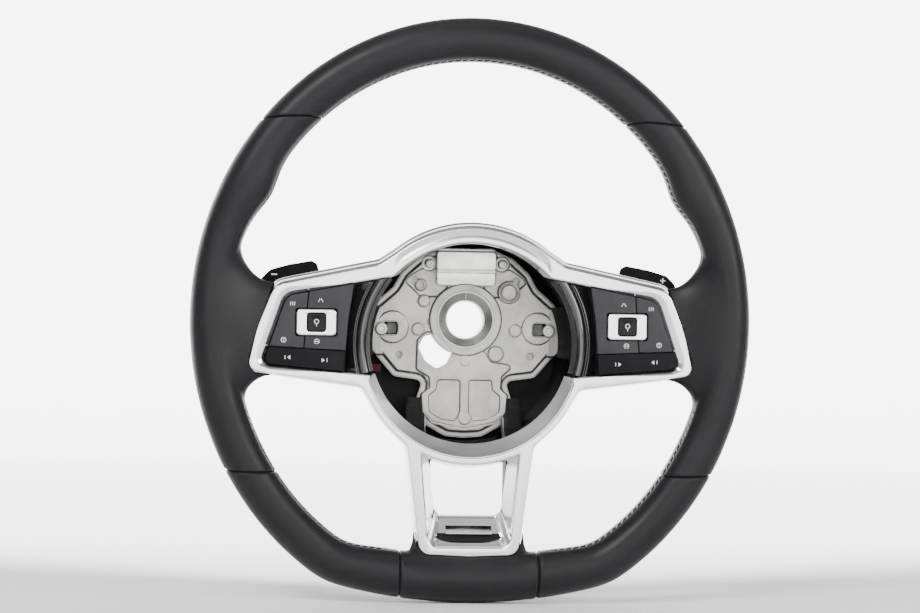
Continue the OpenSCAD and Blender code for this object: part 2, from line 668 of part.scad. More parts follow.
// Rear cover: a dish round the hub, a trough behind each side spoke and one behind each leg
cover_front = trim_front - trim_deep - 0.5;
arm_hole = 0.8;
module cover_shell(wall) {
    r = cover_r - wall;
    translate([0, 0, -ring_drop]) rotate([90, 0, 0]) rotate_extrude($fn = 96)
        polygon([[0, -cover_back + wall], [r - 9, -cover_back + wall], [r - 2.4, -cover_back + 7], [r, -4],
            [r, cover_front + (wall > 0 ? over : 0)], [0, cover_front + (wall > 0 ? over : 0)]]);
}
trough = [[58, 8], [wing_tip - 18, 8], [wing_tip - 11, -16], [wing_tip - 15, -31], [66, -37], [58, -37]];
trough_back = 13;
// Trough with a sloped edge round its back
module soft_trough(pts, back, front, wall, slope) {
    skin([
        at_y(grown_in(pts, wall + slope), -(back + wall)),
        at_y(grown_in(pts, wall), -(back + wall + slope)),
        at_y(grown_in(pts, wall), -(front + (wall > 0 ? over : 0)))]);
}
module side_trough(wall) {
    soft_trough(trough, trough_back, housing_back - 0.4, wall, 3.5);
}
leg_trough = [[24.6, -80], [38.4, -80], [33.6, -136], [24.6, -136]];
module leg_trough(wall) {
    soft_trough(leg_trough, trough_back + 4, window_back_at - 0.5, wall * 0.8, 2);
}
function grown_in(pts, d) =
    let (m = len(pts))
    [for (i = [0:m - 1])
        let (u = unit(pts[i] - pts[(i + m - 1) % m]), v = unit(pts[(i + 1) % m] - pts[i]))
        let (nu = [-u[1], u[0]], nv = [-v[1], v[0]], b = nu + nv)
        pts[i] - b * d / (b * nu)];
module rear_cover() {
    color([0.09, 0.09, 0.1]) difference() {
        union() {
            cover_shell(0);
            side_trough(0);
            left_side() side_trough(0);
            leg_trough(0);
            left_side() leg_trough(0);
        }
        cover_shell(cover_wall);
        side_trough(cover_wall);
        left_side() side_trough(cover_wall);
        leg_trough(cover_wall);
        left_side() leg_trough(cover_wall);
        arms(arm_hole);
        disc(column_hole_r, -cover_back - over, -cover_back + 4);
        slab(-cover_back - over, -cover_back + 4) polygon(grown(rounded(shaped_hole, [for (p = shaped_hole) 3], 3), 1.6));
        for (s = screw_spots) disc(screw_r + 0.2, -cover_back - over, -cover_back + 4, s[0], s[1]);
    }
}
module rear_cover_screws() {
    color([0.2, 0.2, 0.2]) for (s = screw_spots) {
        disc(screw_r, -cover_back, 0, s[0], s[1]);
        disc(screw_r * 2, -cover_back - 2.4, -cover_back, s[0], s[1]);
    }
}

// Switch pad: the inner edge of the keys curves round the airbag ring
pad_edge = rounded([[76.4, 22.6], pad_tip_top, pad_tip_low, [82.4, -35.2], [79.8, 0]], [1, 9, 4.5, 1, 60], 4);
key_inset = 0.6;
mat_front = housing_back + housing_wall + 0.2 + board_t + mat_t;
housing_front = trim_front - trim_deep - 0.3;
module pad_slab(back, front, inset) {
    slab(back, front) polygon(grown(pad_edge, -inset));
}
module switch_housing() {
    color([0.1, 0.1, 0.1]) difference() {
        pad_slab(housing_back, housing_front, -1);
        pad_slab(housing_back + housing_wall, housing_front + over, housing_wall - 1);
    }
}
module circuit_board() {
    color([0.05, 0.3, 0.15]) pad_slab(housing_back + housing_wall, mat_front - mat_t - 0.2, housing_wall - 0.8);
}
module dome_mat() {
    color([0.25, 0.25, 0.25]) union() {
        pad_slab(mat_front - mat_t, mat_front, housing_wall - 0.8);
        for (p = [[toggle_x, 9.5], [toggle_x, -15.5], [94, -28], [116, -27]]) disc(2, mat_front - 0.4, mat_front + 0.8, p[0] - 4, p[1]);
    }
}
toggle_z = -3.2;
// Line that parts the two upper keys
split_top = [toggle_x + 4.2, 30];
split_low = [toggle_x + 8.6, -key_split - 10];
module key_region(outer) {
    far = outer ? 60 : -60;
    gap = outer ? key_gap / 2 : -key_gap / 2;
    polygon([split_top + [gap, 0], split_low + [gap, 0], split_low + [far, 0], split_top + [far, 0]]);
}
key_slope = 0.044;
module above_split(gap) {
    polygon([[60, -key_split - 1.8 + gap], [150, -key_split - 1.8 + gap + 90 * key_slope], [150, 60], [60, 60]]);
}
module toggle_cut(gap, r) {
    polygon(rounded([[toggle_x - toggle_w / 2 - gap, toggle_z - toggle_h / 2 - gap],
        [toggle_x + toggle_w / 2 + gap, toggle_z - toggle_h / 2 - gap],
        [toggle_x + toggle_w / 2 + gap, toggle_z + toggle_h / 2 + gap],
        [toggle_x - toggle_w / 2 - gap, toggle_z + toggle_h / 2 + gap]], [r, r, r, r], 4));
}
// A rib under each key stands on the mat along the line that the key rocks about
rib_front = key_front - key_t;
module upper_key(outer) {
    at = outer ? toggle_x + toggle_w / 2 + 4 : toggle_x - toggle_w / 2 - 4;
    color([0.2, 0.2, 0.21]) union() {
        slab(rib_front, key_front) difference() {
            intersection() {
                polygon(grown(pad_edge, -key_inset));
                key_region(outer);
                above_split(key_gap / 2);
            }
            toggle_cut(key_gap, 1.6);
        }
        slab(mat_front + 0.3, rib_front + over) translate([at, toggle_z]) square([3.6, 1.2], center = true);
    }
}
module lower_key() {
    color([0.12, 0.12, 0.13]) union() {
        slab(rib_front, key_front - 0.6) difference() {
            polygon(grown(pad_edge, -key_inset));
            above_split(-key_gap / 2);
        }
        slab(mat_front + 0.3, rib_front + over) translate([toggle_x + 4, -27.6]) square([1.2, 4], center = true);
    }
}
module toggle() {
    color("silver") union() {
        slab(key_front - 5, key_front + 0.8) difference() {
            toggle_cut(0, 2.8);
            translate([toggle_x, toggle_z]) square(button_w + 2 * key_gap, center = true);
        }
        slab(mat_front + 0.3, key_front - 4) for (s = [-1, 1])
            translate([toggle_x, toggle_z + s * (toggle_h / 2 - 0.9)]) square([1.2, 1.2], center = true);
    }
}
module centre_button() {
    color([0.08, 0.08, 0.08]) union() {
        slab(key_front - 6, key_front + 1.2)
            translate([toggle_x, toggle_z]) square(button_w, center = true);
        slab(mat_front + button_travel + 0.3, key_front - 5)
            translate([toggle_x, toggle_z]) square(4, center = true);
    }
}
cheek_gap = 0.5;
module cheek() {
    inner = arc_pts(ring_deep_c, ring_deep_r + cheek_gap, 39.2, -16.2, 12);
    outline = concat(inner, [[81.8 - cheek_gap, -34.6], [81, -20], [79.2 - cheek_gap, 0], [75.8 - cheek_gap, 21.6]]);
    ridge = concat(inner, reversed(arc_pts(ring_deep_c, ring_deep_r + 7, 35, -15.5, 12)));
    color([0.05, 0.05, 0.06]) union() {
        slab(trim_front - 8, trim_front - 1) polygon(outline);
        slab(trim_front - 2, trim_front + 1) polygon(ridge);
    }
}

// Shift paddle with its bracket, pin, spring and switch
paddle_turn = 6;
ear_t = 2;
barrel_low = 12;
barrel_high = 22.4;
spring_high = 28;
barrel_r = pin_r + 1.9;
paddle_outline = [[paddle_x, 13], [paddle_tip - 12, 13], [paddle_tip - 1, 17], [paddle_tip, 24.4],
    [paddle_tip - 6.4, 30.8], [paddle_tip - 18.6, paddle_top - 2.7], [paddle_tip - 33.4, paddle_top],
    [paddle_tip - 36.8, paddle_top - 1.8], [paddle_tip - 38.6, 29.6], [paddle_x + 6, 22.2], [paddle_x, 22.2]];
paddle_radii = [0.5, 4, 4, 5, 6, 10, 2, 2, 3, 3, 0.5];
module upright(r, low, high) {
    translate([paddle_x, -paddle_y, low]) cylinder(r = r, h = high - low);
}
module paddle() {
    color([0.07, 0.07, 0.08]) difference() {
        union() {
            slab(paddle_y - 1.4, paddle_y - 1.4 + paddle_t) polygon(rounded(paddle_outline, paddle_radii, 3));
            upright(barrel_r, barrel_low, barrel_high);
        }
        upright(pin_r + pin_gap, barrel_low - over, barrel_high + over);
    }
}
module paddle_bracket() {
    low = barrel_low - 0.3;
    high = spring_high + 0.3;
    color([0.15, 0.15, 0.16]) difference() {
        union() {
            translate([paddle_x - 7, -housing_back, low - ear_t]) cube([14, 2, high - low + 2 * ear_t]);
            for (z = [low - ear_t, high]) hull() {
                translate([paddle_x - 4.6, -housing_back + 1, z]) cube([9.2, 1, ear_t]);
                upright(4.2, z, z + ear_t);
            }
        }
        upright(pin_r, low - ear_t - over, high + ear_t + over);
    }
}
module paddle_pin() {
    color("silver") union() {
        upright(pin_r, barrel_low - 0.3 - ear_t, spring_high + 0.3 + ear_t);
        upright(pin_r + 1, spring_high + 0.3 + ear_t, spring_high + 1.3 + ear_t);
    }
}
wire_r = 0.55;
module paddle_spring() {
    turns = floor((spring_high - barrel_high - 0.6) / (wire_r * 1.8));
    color("silver") translate([paddle_x, -paddle_y, barrel_high + 0.3 + wire_r])
        for (i = [0:turns - 1]) translate([0, 0, i * wire_r * 1.8])
            rotate_extrude() translate([pin_r + 0.4 + wire_r, 0]) circle(r = wire_r, $fn = 16);
}
module paddle_switch() {
    reach = housing_back - paddle_y - paddle_t + 1.4 - 2.1;
    color([0.1, 0.1, 0.1]) union() {
        translate([paddle_x + 12, -housing_back, 13.6]) cube([9, 3.4, 5]);
        translate([paddle_x + 15.6, -housing_back + 3, 15.2]) cube([1.8, reach - 3, 1.8]);
    }
}

// The origin lies in the middle of the pilot bore
module placed() {
    translate([0, bore_len / 2 - boss_back, 0]) children();
}

placed() armature();
placed() rim_core();
placed() hub_insert();
placed() rim_foam();
placed() leather_top();
placed() leather_left();
placed() leather_right();
placed() leather_lower_left();
placed() leather_lower_right();
placed() leather_bottom();
placed() spoke_trim();
placed() badge_plate();
placed() blank_plate();
placed() locating_pins();
placed() lug_pins();
placed() clip_rail();
placed() wire_connector();
placed() rear_cover();
placed() rear_cover_screws();
placed() left_side() cheek();  // left_cheek
placed() cheek();  // right_cheek
placed() left_side() switch_housing();  // left_housing
placed() switch_housing();  // right_housing
placed() left_side() circuit_board();  // left_circuit_board
placed() circuit_board();  // right_circuit_board
placed() left_side() dome_mat();  // left_dome_mat
placed() dome_mat();  // right_dome_mat
placed() left_side() upper_key(true);  // left_outer_key
placed() upper_key(true);  // right_outer_key
placed() left_side() upper_key(false);  // left_inner_key
placed() upper_key(false);  // right_inner_key
placed() left_side() lower_key();  // left_lower_key
placed() lower_key();  // right_lower_key
placed() left_side() toggle();  // left_toggle
placed() toggle();  // right_toggle
placed() left_side() centre_button();  // left_centre_button
placed() centre_button();  // right_centre_button
placed() left_side() paddle();  // left_paddle
placed() paddle();  // right_paddle
placed() left_side() paddle_bracket();  // left_paddle_bracket
placed() paddle_bracket();  // right_paddle_bracket
placed() left_side() paddle_pin();  // left_paddle_pin
placed() paddle_pin();  // right_paddle_pin
placed() left_side() paddle_spring();  // left_paddle_spring
placed() paddle_spring();  // right_paddle_spring
placed() left_side() paddle_switch();  // left_paddle_switch
placed() paddle_switch();  // right_paddle_switch
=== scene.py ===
"""Looks of a flat-bottomed leather steering wheel, shown without its airbag.

Lengths in this file are millimetres in the wheel's own plan: across (X), in front of the hub, and up (Z).
They become metres in the frame's axes when a mesh is made.
"""

from __future__ import annotations

import json
import logging
import math
from dataclasses import dataclass, field
from enum import Enum
from typing import Callable, Iterable, Sequence

import bpy
import bmesh
import numpy as np
from mathutils import Matrix, Vector
from mathutils.geometry import delaunay_2d_cdt

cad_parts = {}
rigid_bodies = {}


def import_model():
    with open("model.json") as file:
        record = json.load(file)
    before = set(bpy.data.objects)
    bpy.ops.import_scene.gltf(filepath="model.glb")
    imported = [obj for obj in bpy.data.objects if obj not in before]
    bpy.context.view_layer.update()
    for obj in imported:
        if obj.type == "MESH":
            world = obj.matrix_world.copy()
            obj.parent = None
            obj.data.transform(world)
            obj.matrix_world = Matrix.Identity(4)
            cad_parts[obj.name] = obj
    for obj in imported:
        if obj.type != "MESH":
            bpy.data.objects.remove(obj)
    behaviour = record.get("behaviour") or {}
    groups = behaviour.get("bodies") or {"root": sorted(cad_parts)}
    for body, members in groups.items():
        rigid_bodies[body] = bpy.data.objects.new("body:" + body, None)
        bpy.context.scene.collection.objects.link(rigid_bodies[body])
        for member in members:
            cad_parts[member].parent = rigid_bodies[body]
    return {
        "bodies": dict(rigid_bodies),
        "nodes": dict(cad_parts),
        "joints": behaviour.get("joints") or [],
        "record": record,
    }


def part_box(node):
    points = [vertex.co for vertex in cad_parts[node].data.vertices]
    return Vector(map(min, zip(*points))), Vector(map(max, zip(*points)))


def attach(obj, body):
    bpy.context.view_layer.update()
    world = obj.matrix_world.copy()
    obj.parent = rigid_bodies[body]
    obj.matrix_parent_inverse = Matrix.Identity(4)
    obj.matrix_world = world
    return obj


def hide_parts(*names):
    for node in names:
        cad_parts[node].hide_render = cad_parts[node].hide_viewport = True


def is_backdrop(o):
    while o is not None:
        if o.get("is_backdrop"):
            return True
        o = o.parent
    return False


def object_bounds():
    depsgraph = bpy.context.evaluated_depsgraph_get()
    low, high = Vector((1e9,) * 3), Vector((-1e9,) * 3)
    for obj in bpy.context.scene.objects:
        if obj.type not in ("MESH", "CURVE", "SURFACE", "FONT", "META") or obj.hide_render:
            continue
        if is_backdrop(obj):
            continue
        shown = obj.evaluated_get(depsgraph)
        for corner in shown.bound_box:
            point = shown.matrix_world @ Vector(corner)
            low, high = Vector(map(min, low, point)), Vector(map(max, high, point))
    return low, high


LOG = logging.getLogger("steering_wheel")
Array = np.ndarray
HUB_SHIFT = 17.0
MM = 1000.0
WHEEL = "wheel"


class Side(Enum):
    """The driver's left or right."""

    LEFT = -1
    RIGHT = 1

    @property
    def word(self) -> str:
        """The side's name as the bodies and nodes spell it."""
        return "left" if self is Side.LEFT else "right"


def metres(points: Array) -> Array:
    """Turns plan millimetres (across, in front, up) into metres in the frame.

    Args:
        points: an array whose last axis is across, in front, up.

    Returns:
        The same points as x, y, z: y = -(in front + shift of the hub).
    """
    p = np.asarray(points, dtype=float)
    return np.stack([p[..., 0], -(p[..., 1] + HUB_SHIFT), p[..., 2]], axis=-1) / MM


def smooth(t: Array) -> Array:
    """Smooth step: 3t^2 - 2t^3 between 0 and 1."""
    c = np.clip(t, 0.0, 1.0)
    return c * c * (3.0 - 2.0 * c)


def bell(x: Array, w: float) -> Array:
    """Bell of width w: exp(-(x / w)^2)."""
    return np.exp(-((np.asarray(x, dtype=float) / w) ** 2))


def full(v: Array) -> Array:
    """Fuller round: sign(v) |v|^0.88."""
    return np.sign(v) * np.abs(v) ** 0.88


# Outlines in the plan, as arrays of (across, up)


def arc(c: Sequence[float], r: float, a0: float, a1: float, n: int = 24) -> Array:
    """Points on a circle: centre + r (cos a, sin a), with a from a0 to a1 degrees."""
    a = np.radians(np.linspace(a0, a1, n + 1))
    return np.stack([c[0] + r * np.cos(a), c[1] + r * np.sin(a)], axis=-1)


def corner(p: Sequence[float], q: Sequence[float], s: Sequence[float], r: float, n: int = 8) -> Array:
    """Rounds the corner q between p and s by an arc of radius r that touches both sides."""
    p, q, s = (np.asarray(v, dtype=float) for v in (p, q, s))
    u = (p - q) / np.linalg.norm(p - q)
    v = (s - q) / np.linalg.norm(s - q)
    half = math.acos(float(np.clip(u @ v, -1.0, 1.0))) / 2.0
    w = (u + v) / np.linalg.norm(u + v)
    c = q + w * r / math.sin(half)
    a = q + u * r / math.tan(half)
    b = q + v * r / math.tan(half)
    a0 = math.degrees(math.atan2(a[1] - c[1], a[0] - c[0]))
    a1 = math.degrees(math.atan2(b[1] - c[1], b[0] - c[0]))
    turn = (a1 - a0 + 540.0) % 360.0 - 180.0
    return arc(c, r, a0, a0 + turn, n)


def rounded(points: Sequence[Sequence[float]], radii: Sequence[float] | float, n: int = 8) -> Array:
    """Rounds every corner of a closed outline.

    Args:
        points: the sharp corners in order.
        radii: one radius for each corner, or one for all.
        n: steps in each rounded corner.

    Returns:
        The outline's points.
    """
    pts = [np.asarray(p, dtype=float) for p in points]
    rr = [float(radii)] * len(pts) if np.isscalar(radii) else list(radii)
    m = len(pts)
    return np.concatenate([corner(pts[i - 1], pts[i], pts[(i + 1) % m], rr[i], n) for i in range(m)])


def square(x: float, z: float, h: float) -> Array:
    """Corners of a square about a point, h to each side."""
    return np.array([(x - h, z - h), (x + h, z - h), (x + h, z + h), (x - h, z + h)])


def both_sides(half: Array) -> Array:
    """Closes a right half outline, which runs from the top to the bottom, with its mirror image."""
    back = half[-2:0:-1] * np.array([-1.0, 1.0])
    return np.concatenate([half, back])


def even(outline: Array, step: float) -> Array:
    """Spreads points evenly along a closed outline by its arc length.

    Args:
        outline: the closed outline.
        step: the distance wanted between points.

    Returns:
        Points at equal distances along the same line.
    """
    keep = np.linalg.norm(np.roll(outline, -1, axis=0) - outline, axis=1) > 1e-6
    pts = outline[keep]
    loop = np.concatenate([pts, pts[:1]])
    run = np.concatenate([[0.0], np.cumsum(np.linalg.norm(np.diff(loop, axis=0), axis=1))])
    n = max(8, int(round(run[-1] / step)))
    t = np.linspace(0.0, run[-1], n, endpoint=False)
    return np.stack([np.interp(t, run, loop[:, 0]), np.interp(t, run, loop[:, 1])], axis=-1)


def matched(a: Array, b: Array, step: float) -> tuple[Array, Array]:
    """Spreads points along two closed outlines by the arc length of the first.

    Args:
        a: the first outline.
        b: the second outline, with as many points.
        step: the distance wanted between points of the first.

    Returns:
        Both outlines, with points that match one to one.
    """
    a, b = np.concatenate([a, a[:1]]), np.concatenate([b, b[:1]])
    run = np.concatenate([[0.0], np.cumsum(np.maximum(np.linalg.norm(np.diff(a, axis=0), axis=1), 1e-4))])
    t = np.linspace(0.0, run[-1], int(run[-1] / step), endpoint=False)
    return tuple(np.stack([np.interp(t, run, q[:, 0]), np.interp(t, run, q[:, 1])], axis=-1) for q in (a, b))


def area(outline: Array) -> float:
    """Signed area of a closed outline, positive when it runs counter-clockwise."""
    x, y = outline[:, 0], outline[:, 1]
    return 0.5 * float(np.sum(x * np.roll(y, -1) - np.roll(x, -1) * y))


def outward(outline: Array, soften: int = 0) -> Array:
    """Unit directions that point out of a closed outline at its points.

    Args:
        outline: the closed outline.
        soften: how many times neighbouring directions are averaged.

    Returns:
        One unit direction for each point.
    """
    t = np.roll(outline, -1, axis=0) - np.roll(outline, 1, axis=0)
    t /= np.linalg.norm(t, axis=1, keepdims=True)
    n = np.stack([t[:, 1], -t[:, 0]], axis=-1) * (1.0 if area(outline) > 0 else -1.0)
    for _ in range(soften):
        n = n + 0.5 * (np.roll(n, 1, axis=0) + np.roll(n, -1, axis=0))
        n /= np.linalg.norm(n, axis=1, keepdims=True)
    return n


def distance(points: Array, outline: Array) -> Array:
    """Signed distance of points to a closed outline: negative inside.

    Args:
        points: an array of (across, up).
        outline: the closed outline.

    Returns:
        The distance of each point to the nearest side, with the sign by the even-odd rule.
    """
    shape = points.shape[:-1]
    flat = points.reshape(-1, 2)
    best = np.full(len(flat), 1e9)
    inside = np.zeros(len(flat), dtype=bool)
    nxt = np.roll(outline, -1, axis=0)
    for a, b in zip(outline, nxt):
        ab = b - a
        t = np.clip(((flat - a) @ ab) / max(float(ab @ ab), 1e-12), 0.0, 1.0)
        d = flat - a - t[:, None] * ab
        best = np.minimum(best, np.einsum("ij,ij->i", d, d))
        cross = (a[1] > flat[:, 1]) != (b[1] > flat[:, 1])
        with np.errstate(divide="ignore", invalid="ignore"):
            x = a[0] + (flat[:, 1] - a[1]) * ab[0] / ab[1]
        inside ^= cross & (flat[:, 0] < x)
    return (np.sqrt(best) * np.where(inside, -1.0, 1.0)).reshape(shape)


# Meshes


def linked(name: str, data: bpy.types.ID) -> bpy.types.Object:
    """Makes an object with the given data and links it into the scene."""
    obj = bpy.data.objects.new(name, data)
    bpy.context.scene.collection.objects.link(obj)
    return obj


def discard(obj: bpy.types.Object) -> None:
    """Deletes an object and its mesh."""
    mesh = obj.data
    bpy.data.objects.remove(obj)
    bpy.data.meshes.remove(mesh)


def coordinates(mesh: bpy.types.Mesh) -> Array:
    """A mesh's points, one row for each."""
    co = np.empty(len(mesh.vertices) * 3)
    mesh.vertices.foreach_get("co", co)
    return co.reshape(-1, 3)


def mesh_object(name: str, verts: Array, faces: Sequence[Sequence[int]],
                flat: Sequence[int] = ()) -> bpy.types.Object:
    """Makes an object from points and faces.

    Args:
        name: the object's name.
        verts: plan millimetres, one row for each point.
        faces: corner numbers of each face.
        flat: numbers of the faces that are shaded flat.

    Returns:
        The object, linked into the scene.
    """
    mesh = bpy.data.meshes.new(name)
    mesh.from_pydata(metres(verts).tolist(), [], [list(map(int, f)) for f in faces])
    shade = np.ones(len(mesh.polygons), dtype=bool)
    shade[list(flat)] = False
    mesh.polygons.foreach_set("use_smooth", shade)
    mesh.update()
    return linked(name, mesh)


def outside(obj: bpy.types.Object, merge: float = 0.0) -> bpy.types.Object:
    """Merges doubles where asked and turns every face outward."""
    bm = bmesh.new()
    bm.from_mesh(obj.data)
    if merge > 0.0:
        bmesh.ops.remove_doubles(bm, verts=bm.verts, dist=merge)
    bmesh.ops.recalc_face_normals(bm, faces=bm.faces)
    bm.to_mesh(obj.data)
    bm.free()
    return obj


def grid_faces(m: int, n: int, close_m: bool, close_n: bool, first: int = 0) -> Array:
    """Quads of a grid of m rows and n columns, closed round either way if asked."""
    i = np.arange(m if close_m else m - 1)
    j = np.arange(n if close_n else n - 1)
    i, j = np.meshgrid(i, j, indexing="ij")
    i, j = i.ravel(), j.ravel()
    i2, j2 = (i + 1) % m, (j + 1) % n
    return first + np.stack([i * n + j, i * n + j2, i2 * n + j2, i2 * n + j], axis=-1)


def skin(name: str, rows: Array, closed: bool = False) -> bpy.types.Object:
    """Skin through rows of points that each close round.

    Args:
        name: the object's name.
        rows: an array rows by points by 3.
        closed: joins the last row to the first; otherwise a flat face closes each end.

    Returns:
        The object.
    """
    m, n = rows.shape[:2]
    faces: list = grid_faces(m, n, closed, True).tolist()
    flat: list[int] = []
    if not closed:
        flat = [len(faces), len(faces) + 1]
        faces.append(list(range(n - 1, -1, -1)))
        faces.append(list(range((m - 1) * n, m * n)))
    return outside(mesh_object(name, rows.reshape(-1, 3), faces, flat))


def raised(outline: Array, front: Array | float) -> Array:
    """Puts an outline at a distance in front of the hub."""
    f = np.broadcast_to(np.asarray(front, dtype=float), (len(outline),))
    return np.stack([outline[:, 0], f, outline[:, 1]], axis=-1)


def plate(name: str, outline: Array, profile: Sequence[tuple[float, float]], crown: float = 0.0) -> bpy.types.Object:
    """Closed plate: a profile of (inset, in front) carried round an outline from its back to its face.

    Args:
        name: the object's name.
        outline: the closed outline.
        profile: insets from the outline with the distance in front of the hub at each.
        crown: how much the face swells in its middle.

    Returns:
        The object.
    """
    n = outward(outline)
    rows = [raised(outline - n * inset, front) for inset, front in profile]
    if crown:
        c = outline.mean(axis=0)
        last_inset, last_front = profile[-1]
        edge = outline - n * last_inset
        for k in (0.8, 0.55, 0.28, 0.05):
            rows.append(raised(c + (edge - c) * k, last_front + crown * (1.0 - k * k)))
    return skin(name, np.stack(rows))


def edge_profile(back: float, front: float, r: float, n: int = 4, back_r: float = 0.0) -> list[tuple[float, float]]:
    """Profile of a plate whose front edge is rounded by r, and its back edge by back_r."""
    t = np.radians(np.linspace(0.0, 90.0, n + 1))
    rise = [(r - r * math.cos(a), front - r + r * math.sin(a)) for a in t]
    if not back_r:
        return [(0.0, back)] + rise
    low = [(back_r - back_r * math.cos(a), back + back_r - back_r * math.sin(a)) for a in t[::-1]]
    return low + rise


def turned(name: str, profile: Sequence[tuple[float, float]], across: float, up: float,
           n: int = 48) -> bpy.types.Object:
    """Turned piece: a profile of (radius, in front) spun about a line that points at the driver."""
    a = np.linspace(0.0, 2.0 * np.pi, n, endpoint=False)
    p = np.asarray(profile, dtype=float)
    r, front = p[:, 0:1], np.repeat(p[:, 1:2], n, axis=1)
    return skin(name, np.stack([across + r * np.cos(a), front, up + r * np.sin(a)], axis=-1))


def join(name: str, parts: Sequence[bpy.types.Object]) -> bpy.types.Object:
    """Joins several meshes into one object with the given name."""
    verts, faces, shade, first = [], [], [], 0
    for part in parts:
        me = part.data
        verts.append(coordinates(me))
        faces += [[first + v for v in p.vertices] for p in me.polygons]
        shade += [p.use_smooth for p in me.polygons]
        first += len(me.vertices)
    mesh = bpy.data.meshes.new(name)
    mesh.from_pydata(np.concatenate(verts).tolist(), [], faces)
    mesh.polygons.foreach_set("use_smooth", np.array(shade))
    mesh.update()
    for part in parts:
        discard(part)
    return linked(name, mesh)


def sharpen(obj: bpy.types.Object, degrees: float = 38.0) -> bpy.types.Object:
    """Marks edges sharper than an angle, so that smooth shading stops there."""
    bm = bmesh.new()
    bm.from_mesh(obj.data)
    limit = math.radians(degrees)
    for e in bm.edges:
        if len(e.link_faces) == 2 and e.calc_face_angle(0.0) > limit:
            e.smooth = False
    bm.to_mesh(obj.data)
    bm.free()
    return obj


def softened(name: str, node: bpy.types.Object, width: float) -> bpy.types.Object:
    """Copy of a CAD node with its edges rounded.

    Args:
        name: the new piece's name.
        node: the CAD node.
        width: the width of the rounding in millimetres.

    Returns:
        The piece, with its triangles merged into whole faces and a live Bevel of three steps.
    """
    mesh = node.data.copy()
    mesh.name = name
    obj = linked(name, mesh)
    bm = bmesh.new()
    bm.from_mesh(mesh)
    bmesh.ops.remove_doubles(bm, verts=bm.verts, dist=2e-5)
    bmesh.ops.dissolve_limit(bm, angle_limit=math.radians(0.6), verts=bm.verts, edges=bm.edges)
    bmesh.ops.recalc_face_normals(bm, faces=bm.faces)
    for f in bm.faces:
        f.smooth = True
    bm.to_mesh(mesh)
    bm.free()
    mesh.materials.clear()
    bev = obj.modifiers.new("soft edges", "BEVEL")
    bev.width = width / MM
    bev.segments = 3
    bev.limit_method = "ANGLE"
    bev.angle_limit = math.radians(32.0)
    bev.harden_normals = True
    bev.use_clamp_overlap = True
    return obj


# Finishes


def add_node(mat: bpy.types.Material, kind: str, values: dict | None = None, **settings: object) -> bpy.types.Node:
    """Adds a shader node to a material.

    Args:
        mat: the material.
        kind: the node's type, without its first words.
        values: a value for each input named or numbered.
        settings: the node's own settings, which are made first.

    Returns:
        The node.
    """
    node = mat.node_tree.nodes.new("ShaderNode" + kind)
    for key, value in settings.items():
        setattr(node, key, value)
    for key, value in (values or {}).items():
        node.inputs[key].default_value = value
    return node


def wire(mat: bpy.types.Material, *links: tuple) -> None:
    """Links sockets of a material: each link is node, output, node, input."""
    for source, output, target, entry in links:
        mat.node_tree.links.new(source.outputs[output], target.inputs[entry])


